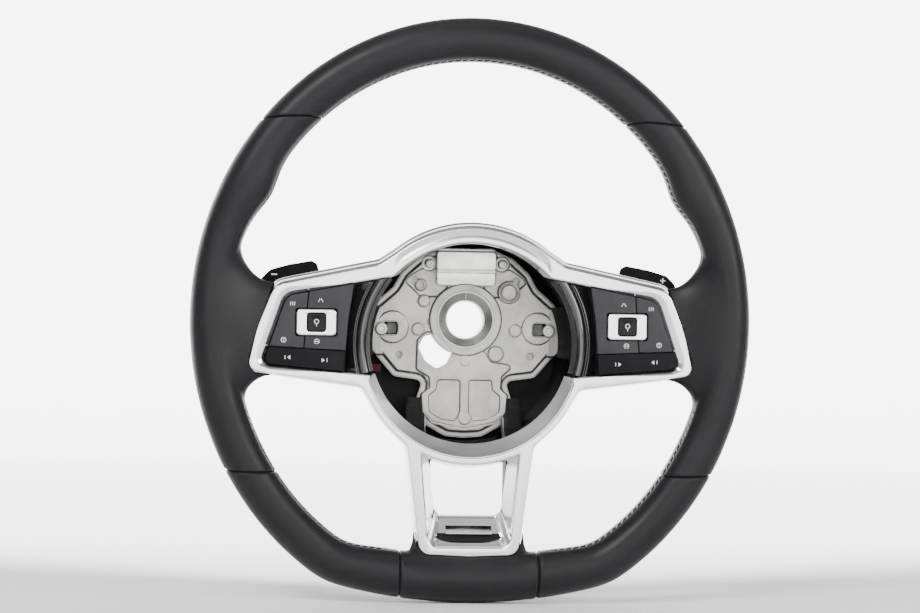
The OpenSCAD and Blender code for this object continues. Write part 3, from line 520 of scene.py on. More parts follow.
@dataclass(frozen=True)
class Finish:
    """A finish of one material.

    Attributes:
        name: the material's name.
        colour: base colour.
        second: a second colour that soft clouds mix in; without it the base colour, a little darker.
        clouds: size of the clouds in millimetres.
        metal: how metallic it is.
        rough: roughness of the surface.
        rough_spread: how much the roughness varies.
        grain: size of the grain in millimetres, 0 for none.
        relief: depth of the grain in millimetres.
        pebble: uses rounded cells, as on leather, and not a fine noise.
        specular: strength of the reflection that isn't metallic.
        worn: paints shade, darkening the surface where the mesh's attribute called edge says so.
    """

    name: str
    colour: tuple[float, float, float]
    second: tuple[float, float, float] | None = None
    clouds: float = 20.0
    metal: float = 0.0
    rough: float = 0.5
    rough_spread: float = 0.08
    grain: float = 0.0
    relief: float = 0.02
    pebble: bool = False
    specular: float = 0.5
    worn: bool = False

    def build(self) -> bpy.types.Material:
        """Builds the node material: clouds of two colours, a varying roughness and a grain."""
        mat = bpy.data.materials.new(self.name)
        mat.use_nodes = True
        shader = mat.node_tree.nodes["Principled BSDF"]
        shader.inputs["Metallic"].default_value = self.metal
        shader.inputs["Specular IOR Level"].default_value = self.specular
        place = add_node(mat, "TexCoord")
        cloud = add_node(mat, "TexNoise", {"Scale": MM / self.clouds, "Detail": 5.0})
        spread = add_node(mat, "MapRange", {"From Min": 0.35, "From Max": 0.68})
        other = self.second or tuple(c * 0.86 for c in self.colour)
        mix = add_node(mat, "Mix", {6: (*self.colour, 1.0), 7: (*other, 1.0)}, data_type="RGBA")
        fine = add_node(mat, "TexNoise", {"Scale": 2600.0 / self.clouds, "Detail": 6.0})
        gloss = add_node(mat, "MapRange", {
            "From Min": 0.3, "From Max": 0.7, "To Min": max(0.02, self.rough - self.rough_spread),
            "To Max": min(1.0, self.rough + self.rough_spread)})
        wire(mat, (place, "Object", cloud, "Vector"), (cloud, "Fac", spread, "Value"), (spread, "Result", mix, 0),
             (place, "Object", fine, "Vector"), (fine, "Fac", gloss, "Value"), (gloss, "Result", shader, "Roughness"))
        top = mix
        # Painted shade: where the edge attribute says, the colour is mixed toward a third of itself.
        if self.worn:
            edge = add_node(mat, "Attribute", attribute_name="edge")
            top = add_node(mat, "Mix", {7: (*(c * 0.33 for c in self.colour), 1.0)}, data_type="RGBA")
            wire(mat, (edge, "Fac", top, 0), (mix, 2, top, 6))
        wire(mat, (top, 2, shader, "Base Color"))
        if self.grain > 0.0:
            self.add_grain(mat, shader, place, fine)
        return mat

    def add_grain(self, mat: bpy.types.Material, shader: bpy.types.Node, place: bpy.types.Node,
                  fine: bpy.types.Node) -> None:
        """Adds the grain: rounded cells that a fine noise warps a little, or a noise alone."""
        bump = add_node(mat, "Bump", {"Strength": 1.0, "Distance": self.relief / MM})
        wire(mat, (bump, "Normal", shader, "Normal"))
        if not self.pebble:
            speck = add_node(mat, "TexNoise", {"Scale": MM / self.grain, "Detail": 4.0})
            wire(mat, (place, "Object", speck, "Vector"), (speck, "Fac", bump, "Height"))
            return
        warp = add_node(mat, "Mix", {0: 0.0012}, data_type="VECTOR")
        cells = add_node(mat, "TexVoronoi", {"Smoothness": 0.6, "Scale": MM / self.grain}, feature="SMOOTH_F1")
        turn = add_node(mat, "Math", {1: -1.0}, operation="MULTIPLY")
        wire(mat, (place, "Object", warp, 4), (fine, "Color", warp, 5), (warp, 1, cells, "Vector"),
             (cells, "Distance", turn, 0), (turn, 0, bump, "Height"))


@dataclass
class Finishes:
    """All finishes of the wheel, each built once when it is first asked for."""

    made: dict[str, bpy.types.Material] = field(default_factory=dict)

    def get(self, finish: Finish) -> bpy.types.Material:
        """Returns the built material of a finish."""
        if finish.name not in self.made:
            self.made[finish.name] = finish.build()
        return self.made[finish.name]

    def wear(self, obj: bpy.types.Object, finish: Finish) -> bpy.types.Object:
        """Gives an object one finish all over."""
        obj.data.materials.clear()
        obj.data.materials.append(self.get(finish))
        return obj


LEATHER = Finish("black_leather", (0.011, 0.011, 0.0125), (0.008, 0.008, 0.0092), 60.0, rough=0.42, rough_spread=0.05,
                 grain=0.9, relief=0.035, pebble=True, specular=0.22)
FOAM = Finish("dark_foam", (0.02, 0.02, 0.021), rough=0.9, grain=1.5, relief=0.1)
THREAD = Finish("grey_thread", (0.42, 0.42, 0.43), rough=0.7, grain=0.2, relief=0.03)
SATIN = Finish("satin_silver", (0.87, 0.87, 0.88), (0.83, 0.83, 0.84), 45.0, metal=1.0, rough=0.2, rough_spread=0.03,
               grain=0.25, relief=0.001)
CHROME = Finish("bright_chrome", (0.92, 0.92, 0.93), (0.88, 0.88, 0.9), 30.0, metal=1.0, rough=0.09,
                rough_spread=0.03)
GLOSS = Finish("gloss_black", (0.006, 0.006, 0.007), rough=0.16, rough_spread=0.03, specular=0.16)
# The cast alloy has shade painted into its colour: it darkens at the feet of the hub's steps and round its holes, by
# the edge attribute.
CAST = Finish("cast_alloy", (0.50, 0.49, 0.47), (0.36, 0.355, 0.335), 13.0, metal=0.7, rough=0.42, rough_spread=0.08,
              grain=0.9, relief=0.02, worn=True)
STEEL = Finish("machined_steel", (0.55, 0.55, 0.54), (0.47, 0.47, 0.46), 12.0, metal=1.0, rough=0.36,
               rough_spread=0.06,
               grain=0.5, relief=0.006)
RIDGE = Finish("gloss_black_ridge", (0.005, 0.005, 0.006), rough=0.15, rough_spread=0.03, specular=0.95)
KEY = Finish("soft_dark_key", (0.034, 0.034, 0.037), (0.029, 0.029, 0.032), 25.0, rough=0.5, grain=0.35, relief=0.008,
             specular=0.2)
KEY_LOW = Finish("soft_black_key", (0.010, 0.010, 0.011), (0.008, 0.008, 0.009), 25.0, rough=0.45, grain=0.35,
                 relief=0.008, specular=0.07)
SIGN = Finish("white_sign", (0.8, 0.8, 0.8), rough=0.5)
PLASTIC = Finish("grained_black_plastic", (0.007, 0.007, 0.0075), (0.010, 0.010, 0.0105), 35.0, rough=0.5, grain=0.7,
                 relief=0.03, specular=0.14)
SCREW = Finish("dull_zinc", (0.30, 0.30, 0.30), (0.24, 0.24, 0.24), 6.0, metal=1.0, rough=0.4)
DULL = Finish("dull_grey_casting", (0.15, 0.15, 0.145), (0.10, 0.10, 0.10), 6.0, metal=0.3, rough=0.5)
PADDLE = Finish("black_paddle", (0.003, 0.003, 0.0034), (0.005, 0.005, 0.0054), 30.0, rough=0.34, grain=0.4,
                relief=0.006, specular=0.06)
WHITE = Finish("pearl_white_plate", (0.93, 0.92, 0.89), (0.89, 0.88, 0.85), 30.0, metal=0.7, rough=0.3, grain=0.6,
               relief=0.003)
BOARD = Finish("green_board", (0.02, 0.12, 0.06), (0.015, 0.09, 0.05), 8.0, rough=0.4)
MAT = Finish("grey_rubber_mat", (0.10, 0.10, 0.10), rough=0.7, grain=0.5, relief=0.02)
RED = Finish("dark_red_plastic", (0.035, 0.001, 0.005), rough=0.4, specular=0.15)


# The rim

# Angle round the section at which the leather is sewn, in degrees
SEWN_AT = 163.0


@dataclass
class Rim:
    """The leather rim: its section carried round an oval with a flat bottom.

    Lengths are millimetres and places along the rim are degrees from its top. The section is thicker by thumb_t at
    the thumb grips and by bottom_t along the flat bottom, and thinner by waist_t at the waist between them.
    """

    width: float = 364.8
    height: float = 394.2
    drop: float = 1.0
    flat_low: float = 183.6
    flat_r: float = 340.0
    thick: float = 28.6
    deep: float = 34.0
    thumb_t: float = 4.4
    thumb_at: float = 59.0
    waist_t: float = 3.0
    bottom_t: float = 2.2
    dish: float = 48.0
    leather_t: float = 1.3
    seam_gap: float = 0.35
    seam_top: float = 129.0
    seam_low: float = 100.0
    seam_bottom: float = 45.0
    roll: float = 1.7
    thumb_run: float = 6.0
    waist_at: float = 80.0
    waist_run: float = 14.0
    bottom_at: float = 148.0
    bottom_run: float = 14.0
    blend: float = 1.2
    slant_reach: float = 14.0

    def outer(self, a: Array) -> Array:
        """Outer edge at an angle: the smaller of the oval and the crowned bottom, blended."""
        t = np.radians(a)
        w, h = self.width / 2.0, self.height / 2.0
        u = w * h / np.sqrt((h * np.cos(t)) ** 2 + (w * np.sin(t)) ** 2) - self.drop * np.sin(t)
        cz = self.flat_r - self.flat_low
        s = cz * np.sin(t)
        under = s ** 2 - cz ** 2 + self.flat_r ** 2
        v = s + np.sqrt(np.maximum(under, 0.0))
        return np.minimum(u, v) - self.blend * np.log(1.0 + np.exp(-np.abs(u - v) / self.blend))

    @staticmethod
    def from_top(a: Array) -> Array:
        """Angle from the top of the rim, either way."""
        return np.abs((np.asarray(a, dtype=float) - 90.0 + 540.0) % 360.0 - 180.0)

    def wide(self, a: Array) -> Array:
        """Width of the section seen from the front."""
        f = self.from_top(a)
        return (self.thick + self.thumb_t * bell(f - self.thumb_at, self.thumb_run)
                - self.waist_t * bell(f - self.waist_at, self.waist_run)
                + self.bottom_t * smooth((f - self.bottom_at) / self.bottom_run))

    def depth(self, a: Array) -> Array:
        """Depth of the section from front to back."""
        f = self.from_top(a)
        return (self.deep + self.thumb_t / 2.0 * bell(f - self.thumb_at, self.thumb_run)
                - self.waist_t / 2.0 * bell(f - self.waist_at, self.waist_run))

    def mid(self, a: Array) -> Array:
        """Middle of the section."""
        return self.outer(a) - self.wide(a) / 2.0

    def inner(self, a: Array) -> Array:
        """Inner edge of the rim."""
        return self.outer(a) - self.wide(a)

    def section_angles(self, n: int = 56) -> Array:
        """Angles round the section, closer together at the sewn line near the inner edge."""
        far = np.linspace(SEWN_AT - 340.0, SEWN_AT - 14.0, n, endpoint=False)
        return np.concatenate([far, np.linspace(SEWN_AT - 14.0, SEWN_AT + 20.0, 24, endpoint=False)])

    def ring(self, a: Array, slant: Array, inset: Array, f: Array, sew: Array | float = 0.0) -> Array:
        """Points of the leather's surface.

        A point at section angle f lies across the section at off = hw full(cos f) and in front of its middle
        at hd full(sin f), each less the inset; the section turns by the slant at seams.

        Args:
            a: angles along the rim, one for each row.
            slant: slants of the rows.
            inset: distance of each row under the surface.
            f: angles round the section.
            sew: depth of the sewn groove along the inner edge, for each row.

        Returns:
            Rows by points by 3, in plan millimetres.
        """
        t = np.radians(f)[None, :]
        a = np.asarray(a, dtype=float)[:, None]
        slant = np.asarray(slant, dtype=float)[:, None]
        inset = np.asarray(inset, dtype=float)[:, None]
        away = (f[None, :] - SEWN_AT + 540.0) % 360.0 - 180.0
        groove = bell(away, 3.4) * np.reshape(np.broadcast_to(sew, a.shape[:1]), (-1, 1))
        hw = self.wide(a) / 2.0 - inset - groove
        hd = self.depth(a) / 2.0 - inset - groove
        off = hw * full(np.cos(t))
        b = a + np.degrees(slant * off / self.mid(a))
        r = self.outer(b) - self.wide(b) / 2.0 + off
        return np.stack([r * np.cos(np.radians(b)), self.dish + hd * full(np.sin(t)) + 0.0 * b,
                         r * np.sin(np.radians(b))], axis=-1)

    def seam_angles(self) -> tuple[float, float, float]:
        """Angles of the upper, lower side and bottom seams."""
        top = math.degrees(math.asin(self.seam_top / float(self.mid(np.array(47.0)))))
        low = math.degrees(math.asin(self.seam_low / float(self.mid(np.array(-35.0)))))
        bottom = math.degrees(math.acos(self.seam_bottom / float(self.mid(np.array(-75.0)))))
        return top, low, bottom

    def rows(self, a0: float, a1: float, s0: float, s1: float, step: float = 1.0) -> tuple[Array, Array, Array]:
        """Rows of a panel: angles, slants and insets, with both ends rolled into the seam.

        The inset near an end follows a quarter circle of radius roll: r - sqrt(r^2 - (r - d)^2).
        """
        per = math.degrees(1.0 / (self.width / 2.0))
        near = np.array([0.0, 0.06, 0.2, 0.45, 0.8, 1.2, 1.7, 2.6, 4.0]) * per
        n = max(4, int((a1 - a0 - 2 * near[-1]) / step))
        a = np.concatenate([a0 + near[:-1], np.linspace(a0 + near[-1], a1 - near[-1], n), (a1 - near[:-1])[::-1]])
        k0 = np.maximum(0.0, 1.0 - (a - a0) / self.slant_reach) ** 2
        k1 = np.maximum(0.0, 1.0 - (a1 - a) / self.slant_reach) ** 2
        d = np.minimum(a - a0, a1 - a) / per
        gone = np.maximum(0.0, self.roll - d)
        inset = self.roll - np.sqrt(np.maximum(self.roll ** 2 - gone ** 2, 0.0))
        return a, s0 * k0 + s1 * k1, np.minimum(inset, self.leather_t)

    def panels(self) -> dict[str, tuple[float, float, float, float]]:
        """Each panel's two end angles and the slants of its seams."""
        top, low, bottom = self.seam_angles()
        turn = math.degrees(self.seam_gap / 2.0 / (self.width / 2.0))
        st = -math.tan(math.radians(top))
        sl = math.tan(math.radians(low))
        su = -1.0 / math.tan(math.radians(bottom))
        return {
            "leather_right": (-low + turn, top - turn, sl, st),
            "leather_top": (top + turn, 180.0 - top - turn, st, -st),
            "leather_left": (180.0 - top + turn, 180.0 + low - turn, -st, -sl),
            "leather_lower_left": (180.0 + low + turn, 180.0 + bottom - turn, -sl, -su),
            "leather_bottom": (180.0 + bottom + turn, 360.0 - bottom - turn, -su, su),
            "leather_lower_right": (360.0 - bottom + turn, 360.0 - low - turn, su, sl),
        }

    def stub(self, out0: float, out1: float, mid_out: float, low: float, high: float, flare: float,
             deep0: float, n: int = 34, m: int = 84) -> Array:
        """Root of a spoke: an oval section that widens by flare t^2.6 toward the rim's inner edge.

        Its half depth grows from deep0 to the rim's own, and it ends in the middle of the rim, drawn in.

        Args:
            out0: where it starts, out from the middle.
            out1: where it reaches the rim's inner edge.
            mid_out: where it ends, in the middle of the rim.
            low: its lower edge along the rim.
            high: its upper edge along the rim.
            flare: how much each edge moves away on the way to the rim.
            deep0: its half depth at the start.
            n: number of rows.
            m: points in each row.

        Returns:
            Rows by points by 3: distance out, in front, along the rim.
        """
        u = np.linspace(0.0, 1.0, n)[:, None]
        f = np.linspace(0.0, 2.0 * np.pi, m, endpoint=False)[None, :]
        mid = (low + high) / 2.0
        out = out0 + (mid_out - out0) * u
        past = np.clip((out - out1) / (mid_out - out1), 0.0, 1.0)
        hh = (high - low) / 2.0 + flare * np.minimum((out - out0) / (out1 - out0), 1.0) ** 2.6
        hh = hh * (1.0 - 0.4 * past ** 2)
        hd = deep0 + (float(self.depth(np.array(0.0))) / 2.0 - 0.3 - deep0) * smooth(u)
        front = self.dish + hd * full(np.sin(f))
        return np.stack([out + 0.0 * f, front, mid + hh * full(np.cos(f))], axis=-1)


def applied(obj: bpy.types.Object) -> bpy.types.Object:
    """Bakes an object's modifiers into its mesh."""
    seen = bpy.context.evaluated_depsgraph_get()
    mesh = bpy.data.meshes.new_from_object(obj.evaluated_get(seen))
    old = obj.data
    obj.modifiers.clear()
    obj.data = mesh
    bpy.data.meshes.remove(old)
    return obj


def combine(obj: bpy.types.Object, other: bpy.types.Object, how: str) -> bpy.types.Object:
    """Adds, cuts or crosses two closed solids and deletes the second."""
    mod = obj.modifiers.new(how.lower(), "BOOLEAN")
    mod.operation = how
    mod.object = other
    mod.solver = "MANIFOLD"
    applied(obj)
    discard(other)
    return obj


def relaxed(obj: bpy.types.Object, weight: Callable[[Array], Array], turns: int) -> bpy.types.Object:
    """Rounds off a joint between surfaces.

    Each turn moves a point toward the mean of its neighbours: p += w / 2 (mean - p).

    Args:
        obj: the object.
        weight: gives 0 to 1 for points in metres.
        turns: number of turns.

    Returns:
        The object.
    """
    me = obj.data
    co = coordinates(me)
    ed = np.empty(len(me.edges) * 2, dtype=np.int32)
    me.edges.foreach_get("vertices", ed)
    ed = ed.reshape(-1, 2)
    count = np.bincount(ed.ravel(), minlength=len(co)).astype(float)[:, None]
    w = weight(co)[:, None] * 0.5
    for _ in range(turns):
        mean = np.zeros_like(co)
        np.add.at(mean, ed[:, 0], co[ed[:, 1]])
        np.add.at(mean, ed[:, 1], co[ed[:, 0]])
        co = co + w * (mean / np.maximum(count, 1.0) - co)
    me.vertices.foreach_set("co", co.ravel())
    me.update()
    return obj


@dataclass
class LeatherRim:
    """The six sewn leather panels of the rim and the stitches along its inner edge.

    Stitches are pitch apart on a circle of radius run_r and reach to either side of the sewn line by the section
    angle reach; sewn_deep is the depth of the groove, and root_deep the half depth of a spoke's root where it starts.
    """

    rim: Rim
    trim: "TrimPlan"
    finishes: Finishes
    sewn_deep: float = 0.7
    pitch: float = 4.3
    run_r: float = 153.0
    reach: float = 4.8
    root_deep: float = 6.8

    def sewn(self, a: Array) -> Array:
        """Depth of the sewn groove, which is gone where the spokes join the rim."""
        side = np.minimum(np.abs((a + 180.0) % 360.0 - 180.0), np.abs(a % 360.0 - 180.0))
        foot = np.abs((a + 90.0 + 180.0) % 360.0 - 180.0)
        return self.sewn_deep * smooth((side - 19.0) / 4.0) * smooth((foot - 18.0) / 4.0)

    def plain(self, name: str, a0: float, a1: float, s0: float, s1: float) -> bpy.types.Object:
        """A panel that closes round the rim, with the back of the leather inside."""
        a, slant, inset = self.rim.rows(a0, a1, s0, s1)
        f = self.rim.section_angles()
        out = self.rim.ring(a, slant, inset, f, self.sewn(a))
        inner = self.rim.ring(a[::-1], slant[::-1], np.full(len(a), self.rim.leather_t + 0.06), f)
        return skin(name, np.concatenate([out, inner]), closed=True)

    def clear_of_trim(self, inset: float, back: float) -> bpy.types.Object:
        """Prism over the trim's outline from a depth to in front of the wheel, for cutting the spoke roots.

        Args:
            inset: how far inside the trim's front edge it runs; a negative inset runs 0.15 mm outside the skirt.
            back: where the prism starts in front of the hub.

        Returns:
            The prism.
        """
        edge = self.trim.edge
        n = outward(edge, 2)
        wide = self.trim.skirt(outward(edge, 6)) + 0.15 if inset < 0.0 else np.full(len(edge), -inset)
        outline = edge + n * wide[:, None]
        return skin("trim_clearance", np.stack([raised(outline, f) for f in (back, 92.0)]))

    def rooted(self, name: str, panel: tuple[float, float, float, float], root: Array,
               weight: Callable[[Array], Array]) -> bpy.types.Object:
        """A panel with the root of a spoke: tube and root are joined, relaxed along the joint and cut at the trim.

        Args:
            name: the panel's name.
            panel: its two end angles and the slants of its seams.
            root: rows of the spoke's root.
            weight: where the joint is relaxed, 0 to 1 for points in metres.

        Returns:
            The panel.
        """
        a, slant, inset = self.rim.rows(*panel, step=0.55)
        f = self.rim.section_angles(64)
        body = skin(name, self.rim.ring(a, slant, inset, f, self.sewn(a)))
        combine(body, skin("root", root), "UNION")
        relaxed(body, weight, 40)
        combine(body, self.clear_of_trim(1.2, 0.0), "DIFFERENCE")
        combine(body, self.clear_of_trim(-1.0, self.trim.front - self.trim.deep - 0.25), "DIFFERENCE")
        return sharpen(outside(body), 50.0)

    def stitches(self) -> bpy.types.Object:
        """Slanted stitches over the sewn groove: each is a short thread from one lip to the other.

        A thread runs through five points across the groove: its ends lie 0.35 mm under the leather and its middle
        0.3 mm over it; a small ring of points is carried along it.
        """
        run = np.arange(0.0, 360.0, math.degrees(self.pitch / self.run_r))
        run = run[self.sewn(run) > 0.45]
        zero = np.zeros(len(run))
        lean = math.degrees(1.0 / self.run_r)
        steps = np.array([-1.0, -0.55, 0.0, 0.55, 1.0])
        lift = np.array([-0.35, 0.12, 0.3, 0.12, -0.35])
        line = np.stack([
            self.rim.ring(run + lean * s, zero, zero - h, np.array([SEWN_AT + self.reach * s]))[:, 0]
            for s, h in zip(steps, lift)
        ], axis=1)
        along = np.gradient(line, axis=1)
        along /= np.linalg.norm(along, axis=2, keepdims=True)
        mid = self.rim.ring(run, zero, zero + 5.0, np.array([SEWN_AT]))[:, 0][:, None, :]
        up = line - mid
        up /= np.linalg.norm(up, axis=2, keepdims=True)
        sidew = np.cross(along, up)
        t = np.linspace(0.0, 2.0 * np.pi, 6, endpoint=False)[None, None, :, None]
        r = np.array([0.16, 0.34, 0.36, 0.34, 0.16])[None, :, None, None]
        rows = line[:, :, None, :] + r * (np.cos(t) * up[:, :, None, :] + np.sin(t) * sidew[:, :, None, :])
        k, m, n = rows.shape[:3]
        one = grid_faces(m, n, False, True)
        first = (np.arange(k) * m * n)[:, None]
        faces = (one[None] + first[:, :, None]).reshape(-1, 4).tolist()
        ends = np.concatenate([np.arange(n)[::-1][None] + first, (np.arange(n) + (m - 1) * n)[None] + first])
        faces += ends.tolist()
        return outside(mesh_object("rim_stitches", rows.reshape(-1, 3), faces))

    def build(self) -> list[bpy.types.Object]:
        """Builds and dresses every panel and the stitches."""
        made = []
        rim, trim = self.rim, self.trim
        out1 = float(rim.inner(np.array(0.0))) + 1.0
        side = rim.stub(trim.wing_tip - 18.0, out1, float(rim.mid(np.array(0.0))), -trim.wing_low - 3.9,
                        trim.wing_top + 3.0, 34.0, self.root_deep)
        wide = trim.foot_half + 1.9
        low1 = float(rim.inner(np.array(-90.0))) + 3.0
        foot = rim.stub(trim.foot_low - 15.0, low1, float(rim.mid(np.array(-90.0))), -wide, wide,
                        rim.seam_bottom - rim.seam_gap - 0.6 - wide, self.root_deep)
        foot = np.stack([foot[..., 2], foot[..., 1], -foot[..., 0]], axis=-1)

        def near_side(p: Array) -> Array:
            """Weight along the joint of a side root: full from 142 to 162 mm out, within 64 mm of its middle."""
            x = np.abs(p[:, 0]) * MM
            z = p[:, 2] * MM + 6.5
            return smooth((x - 134.0) / 8.0) * smooth((172.0 - x) / 10.0) * smooth((80.0 - np.abs(z)) / 16.0)

        def near_foot(p: Array) -> Array:
            """Weight along the joint of the foot: full from 146 to 160 mm down, within 38.5 mm of the middle."""
            x = np.abs(p[:, 0]) * MM
            z = -p[:, 2] * MM
            return smooth((z - 140.0) / 6.0) * smooth((168.0 - z) / 8.0) * smooth((43.5 - x) / 5.0)

        for name, panel in rim.panels().items():
            if name == "leather_right":
                piece = self.rooted("right_side_leather", panel, side, near_side)
            elif name == "leather_left":
                piece = self.rooted("left_side_leather", panel, side * np.array([-1.0, 1.0, 1.0]), near_side)
            elif name == "leather_bottom":
                piece = self.rooted("bottom_leather", panel, foot, near_foot)
            else:
                piece = self.plain(name.replace("leather_", "") + "_rim_leather", *panel)
            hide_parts(name)
            self.finishes.wear(piece, LEATHER)
            made.append(piece)
        thread = self.stitches()
        self.finishes.wear(thread, THREAD)
        made.append(thread)
        for piece in made:
            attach(piece, WHEEL)
        return made


# The spoke trim


@dataclass
class TrimPlan:
    """Outlines of the spoke trim in the plan.

    wing_joint and low_joint are the sharp corners where the wings' upper and lower edges meet the ring.
    """

    rim: Rim
    ring_drop: float = 20.0
    ring_in_r: float = 69.4
    ring_top_r: float = 79.0
    ring_low_r: float = 73.2
    ring_lean: float = 8.6
    tip_gap: float = 11.4
    tip_face: float = 8.6
    wing_top: float = 19.2
    wing_low: float = 33.8
    pad_top: float = 14.1
    pad_low: float = 30.6
    foot_top_half: float = 41.0
    foot_half: float = 31.8
    foot_lap: float = 0.8
    foot_bar: float = 6.0
    foot_shelf: float = 20.4
    front: float = 55.5
    deep: float = 13.5
    slope: float = 6.5
    wall: float = 1.5
    skirt_w: float = 1.4
    brow_w: float = 2.9
    toggle_in: float = 34.6
    wing_joint: tuple[float, float] = (60.5, 34.2)
    low_joint: tuple[float, float] = (70.8, -44.2)
    ring_end_a: float = 52.0
    low_end_a: float = -28.0
    neck_a: float = -49.0

    def __post_init__(self) -> None:
        """Works out the places that follow the rim, and the outlines."""
        self.wing_tip = float(self.rim.inner(np.array(0.0))) - self.tip_gap
        self.pad_tip = self.wing_tip - self.tip_face
        self.toggle_x = self.pad_tip - self.toggle_in
        self.foot_low = float(self.rim.inner(np.array(-90.0))) + self.foot_lap
        self.window_low = self.foot_low - self.foot_bar
        self.shelf_low = self.window_low - self.foot_shelf
        self.ring_c = np.array([0.0, -self.ring_drop])
        self.deep_c = np.array([0.0, -self.ring_drop + self.ring_lean / 2.0])
        self.deep_r = self.ring_in_r - self.ring_lean / 2.0
        self.edge = self.outer()
        self.window_back_at = self.front - 15.0

    def on_ring(self, r: float, a: float) -> Array:
        """Point on a circle about the ring's middle."""
        return self.ring_c + r * np.array([math.cos(math.radians(a)), math.sin(math.radians(a))])

    def outer(self) -> Array:
        """Front edge of the trim all round: ring, wings, neck and foot."""
        j1, j2 = self.wing_joint, self.low_joint
        tip_top, tip_mid = (self.wing_tip - 15.9, self.wing_top + 0.7), (self.wing_tip - 5.0, -7.5)
        tip_low = (self.wing_tip + 1.0, -self.wing_low - 0.6)
        fj, foot = (self.foot_top_half, -81.8), (self.foot_half, 1.4 - self.foot_low)
        half = np.concatenate([
            arc(self.ring_c, self.ring_top_r, 90.0, self.ring_end_a, 30),
            corner(self.on_ring(self.ring_top_r, self.ring_end_a), j1, tip_top, 14.0, 10),
            corner(j1, tip_top, tip_mid, 13.0, 14),
            corner(tip_top, tip_mid, tip_low, 60.0, 8),
            corner(tip_mid, tip_low, j2, 6.0, 12),
            corner(tip_low, j2, self.on_ring(self.ring_low_r, self.low_end_a), 6.0, 10),
            arc(self.ring_c, self.ring_low_r, self.low_end_a, self.neck_a, 12),
            corner(self.on_ring(self.ring_low_r, self.neck_a), fj, foot, 7.0, 8),
            corner(fj, foot, (0.0, -self.foot_low), 8.0, 12),
            [(0.0, -self.foot_low)],
        ])
        return even(both_sides(half), 0.9)

    def skirt(self, n: Array) -> Array:
        """Width of the sloping skirt: wider where the edge faces up, and narrow where leather meets it."""
        x, z = np.abs(self.edge[:, 0]), self.edge[:, 1]
        meets = np.maximum(smooth((x - self.wing_tip + 19.0) / 7.0), smooth((16.0 - z - self.foot_low) / 8.0))
        return (self.skirt_w + self.brow_w * np.maximum(0.0, n[:, 1])) * (1.0 - 0.75 * meets)

    def opening_half(self, c: Array, r: float) -> Array:
        """Right half of the opening: the airbag circle with the switch opening beside it."""
        def at(a: float) -> Array:
            """Point on the circle."""
            return c + r * np.array([math.cos(math.radians(a)), math.sin(math.radians(a))])

        in_top, in_low = (52.6, 26.8), (65.6, -36.6)
        tip_top, tip_low = (self.pad_tip - 15.1, self.pad_top), (self.pad_tip, -self.pad_low)
        return np.concatenate([
            arc(c, r, 90.0, 43.0, 40),
            corner(at(43.0), in_top, tip_top, 1.5, 6),
            corner(in_top, tip_top, tip_low, 9.0, 14),
            corner(tip_top, tip_low, in_low, 4.5, 12),
            corner(tip_low, in_low, at(-18.0), 1.5, 6),
            arc(c, r, -18.0, -90.0, 60),
        ])

    def opening_pair(self, step: float = 0.8) -> tuple[Array, Array]:
        """Front and deep edges of the opening, with points that match one to one."""
        a = both_sides(self.opening_half(self.ring_c, self.ring_in_r))
        b = both_sides(self.opening_half(self.deep_c, self.deep_r))
        return matched(a, b, step)

    def window(self, r: float, top_w: float, low_w: float, low: float, rad: float) -> Array:
        """Outline of the lower window: a piece of the ring's circle on top and two rounded low corners."""
        s, c = math.sin(math.radians(top_w)), math.cos(math.radians(top_w))
        return np.concatenate([
            arc(self.ring_c, r, -90.0 - top_w, -90.0 + top_w, 30),
            corner(self.ring_c + r * np.array([s, -c]), (low_w, -low), (-low_w, -low), rad, 14),
            corner((low_w, -low), (-low_w, -low), self.ring_c + r * np.array([-s, -c]), rad, 14),
        ])

    def window_pair(self, step: float = 0.7) -> tuple[Array, Array]:
        """Front and back edges of the lower window, with points that match one to one."""
        a = self.window(self.ring_low_r + 1.0, 25.5, self.foot_half - 5.2, self.window_low, 8.0)
        b = self.window(self.ring_low_r + 3.0, 19.6, self.foot_half - 10.2, self.shelf_low, 6.0)
        return matched(a, b, step)


def filled(loops: Sequence[Array], front: float, pitch: float, turn_back: bool) -> tuple[Array, list]:
    """Fills the flat face between an outer loop and the loops of its holes with triangles.

    Args:
        loops: the outer loop first, then the holes.
        front: the face's distance in front of the hub.
        pitch: distance between the points inside.
        turn_back: makes the faces look backward.

    Returns:
        Points and triangles.
    """
    outer, holes = loops[0], loops[1:]
    lo, hi = outer.min(axis=0), outer.max(axis=0)
    gx, gz = np.meshgrid(np.arange(lo[0], hi[0], pitch), np.arange(lo[1], hi[1], pitch))
    g = np.stack([gx + (np.arange(gx.shape[0]) % 2)[:, None] * pitch / 2.0, gz], axis=-1).reshape(-1, 2)
    keep = distance(g, outer) < -0.45 * pitch
    for hole in holes:
        keep &= distance(g, hole) > 0.45 * pitch
    pts = np.concatenate([*loops, g[keep]])
    edges, first = [], 0
    for loop in loops:
        n = len(loop)
        edges += [(first + i, first + (i + 1) % n) for i in range(n)]
        first += n
    verts, _, tris, *_ = delaunay_2d_cdt([Vector(p) for p in pts.tolist()], edges, [], 0, 1e-7)
    v = np.array([(p[0], p[1]) for p in verts])
    t = np.array([f for f in tris if len(f) == 3])
    c = v[t].mean(axis=1)
    keep = distance(c, outer) < 0.0
    for hole in holes:
        keep &= distance(c, hole) > 0.0
    t = t[keep]
    if turn_back:
        t = t[:, ::-1]
    return raised(v, front), t.tolist()


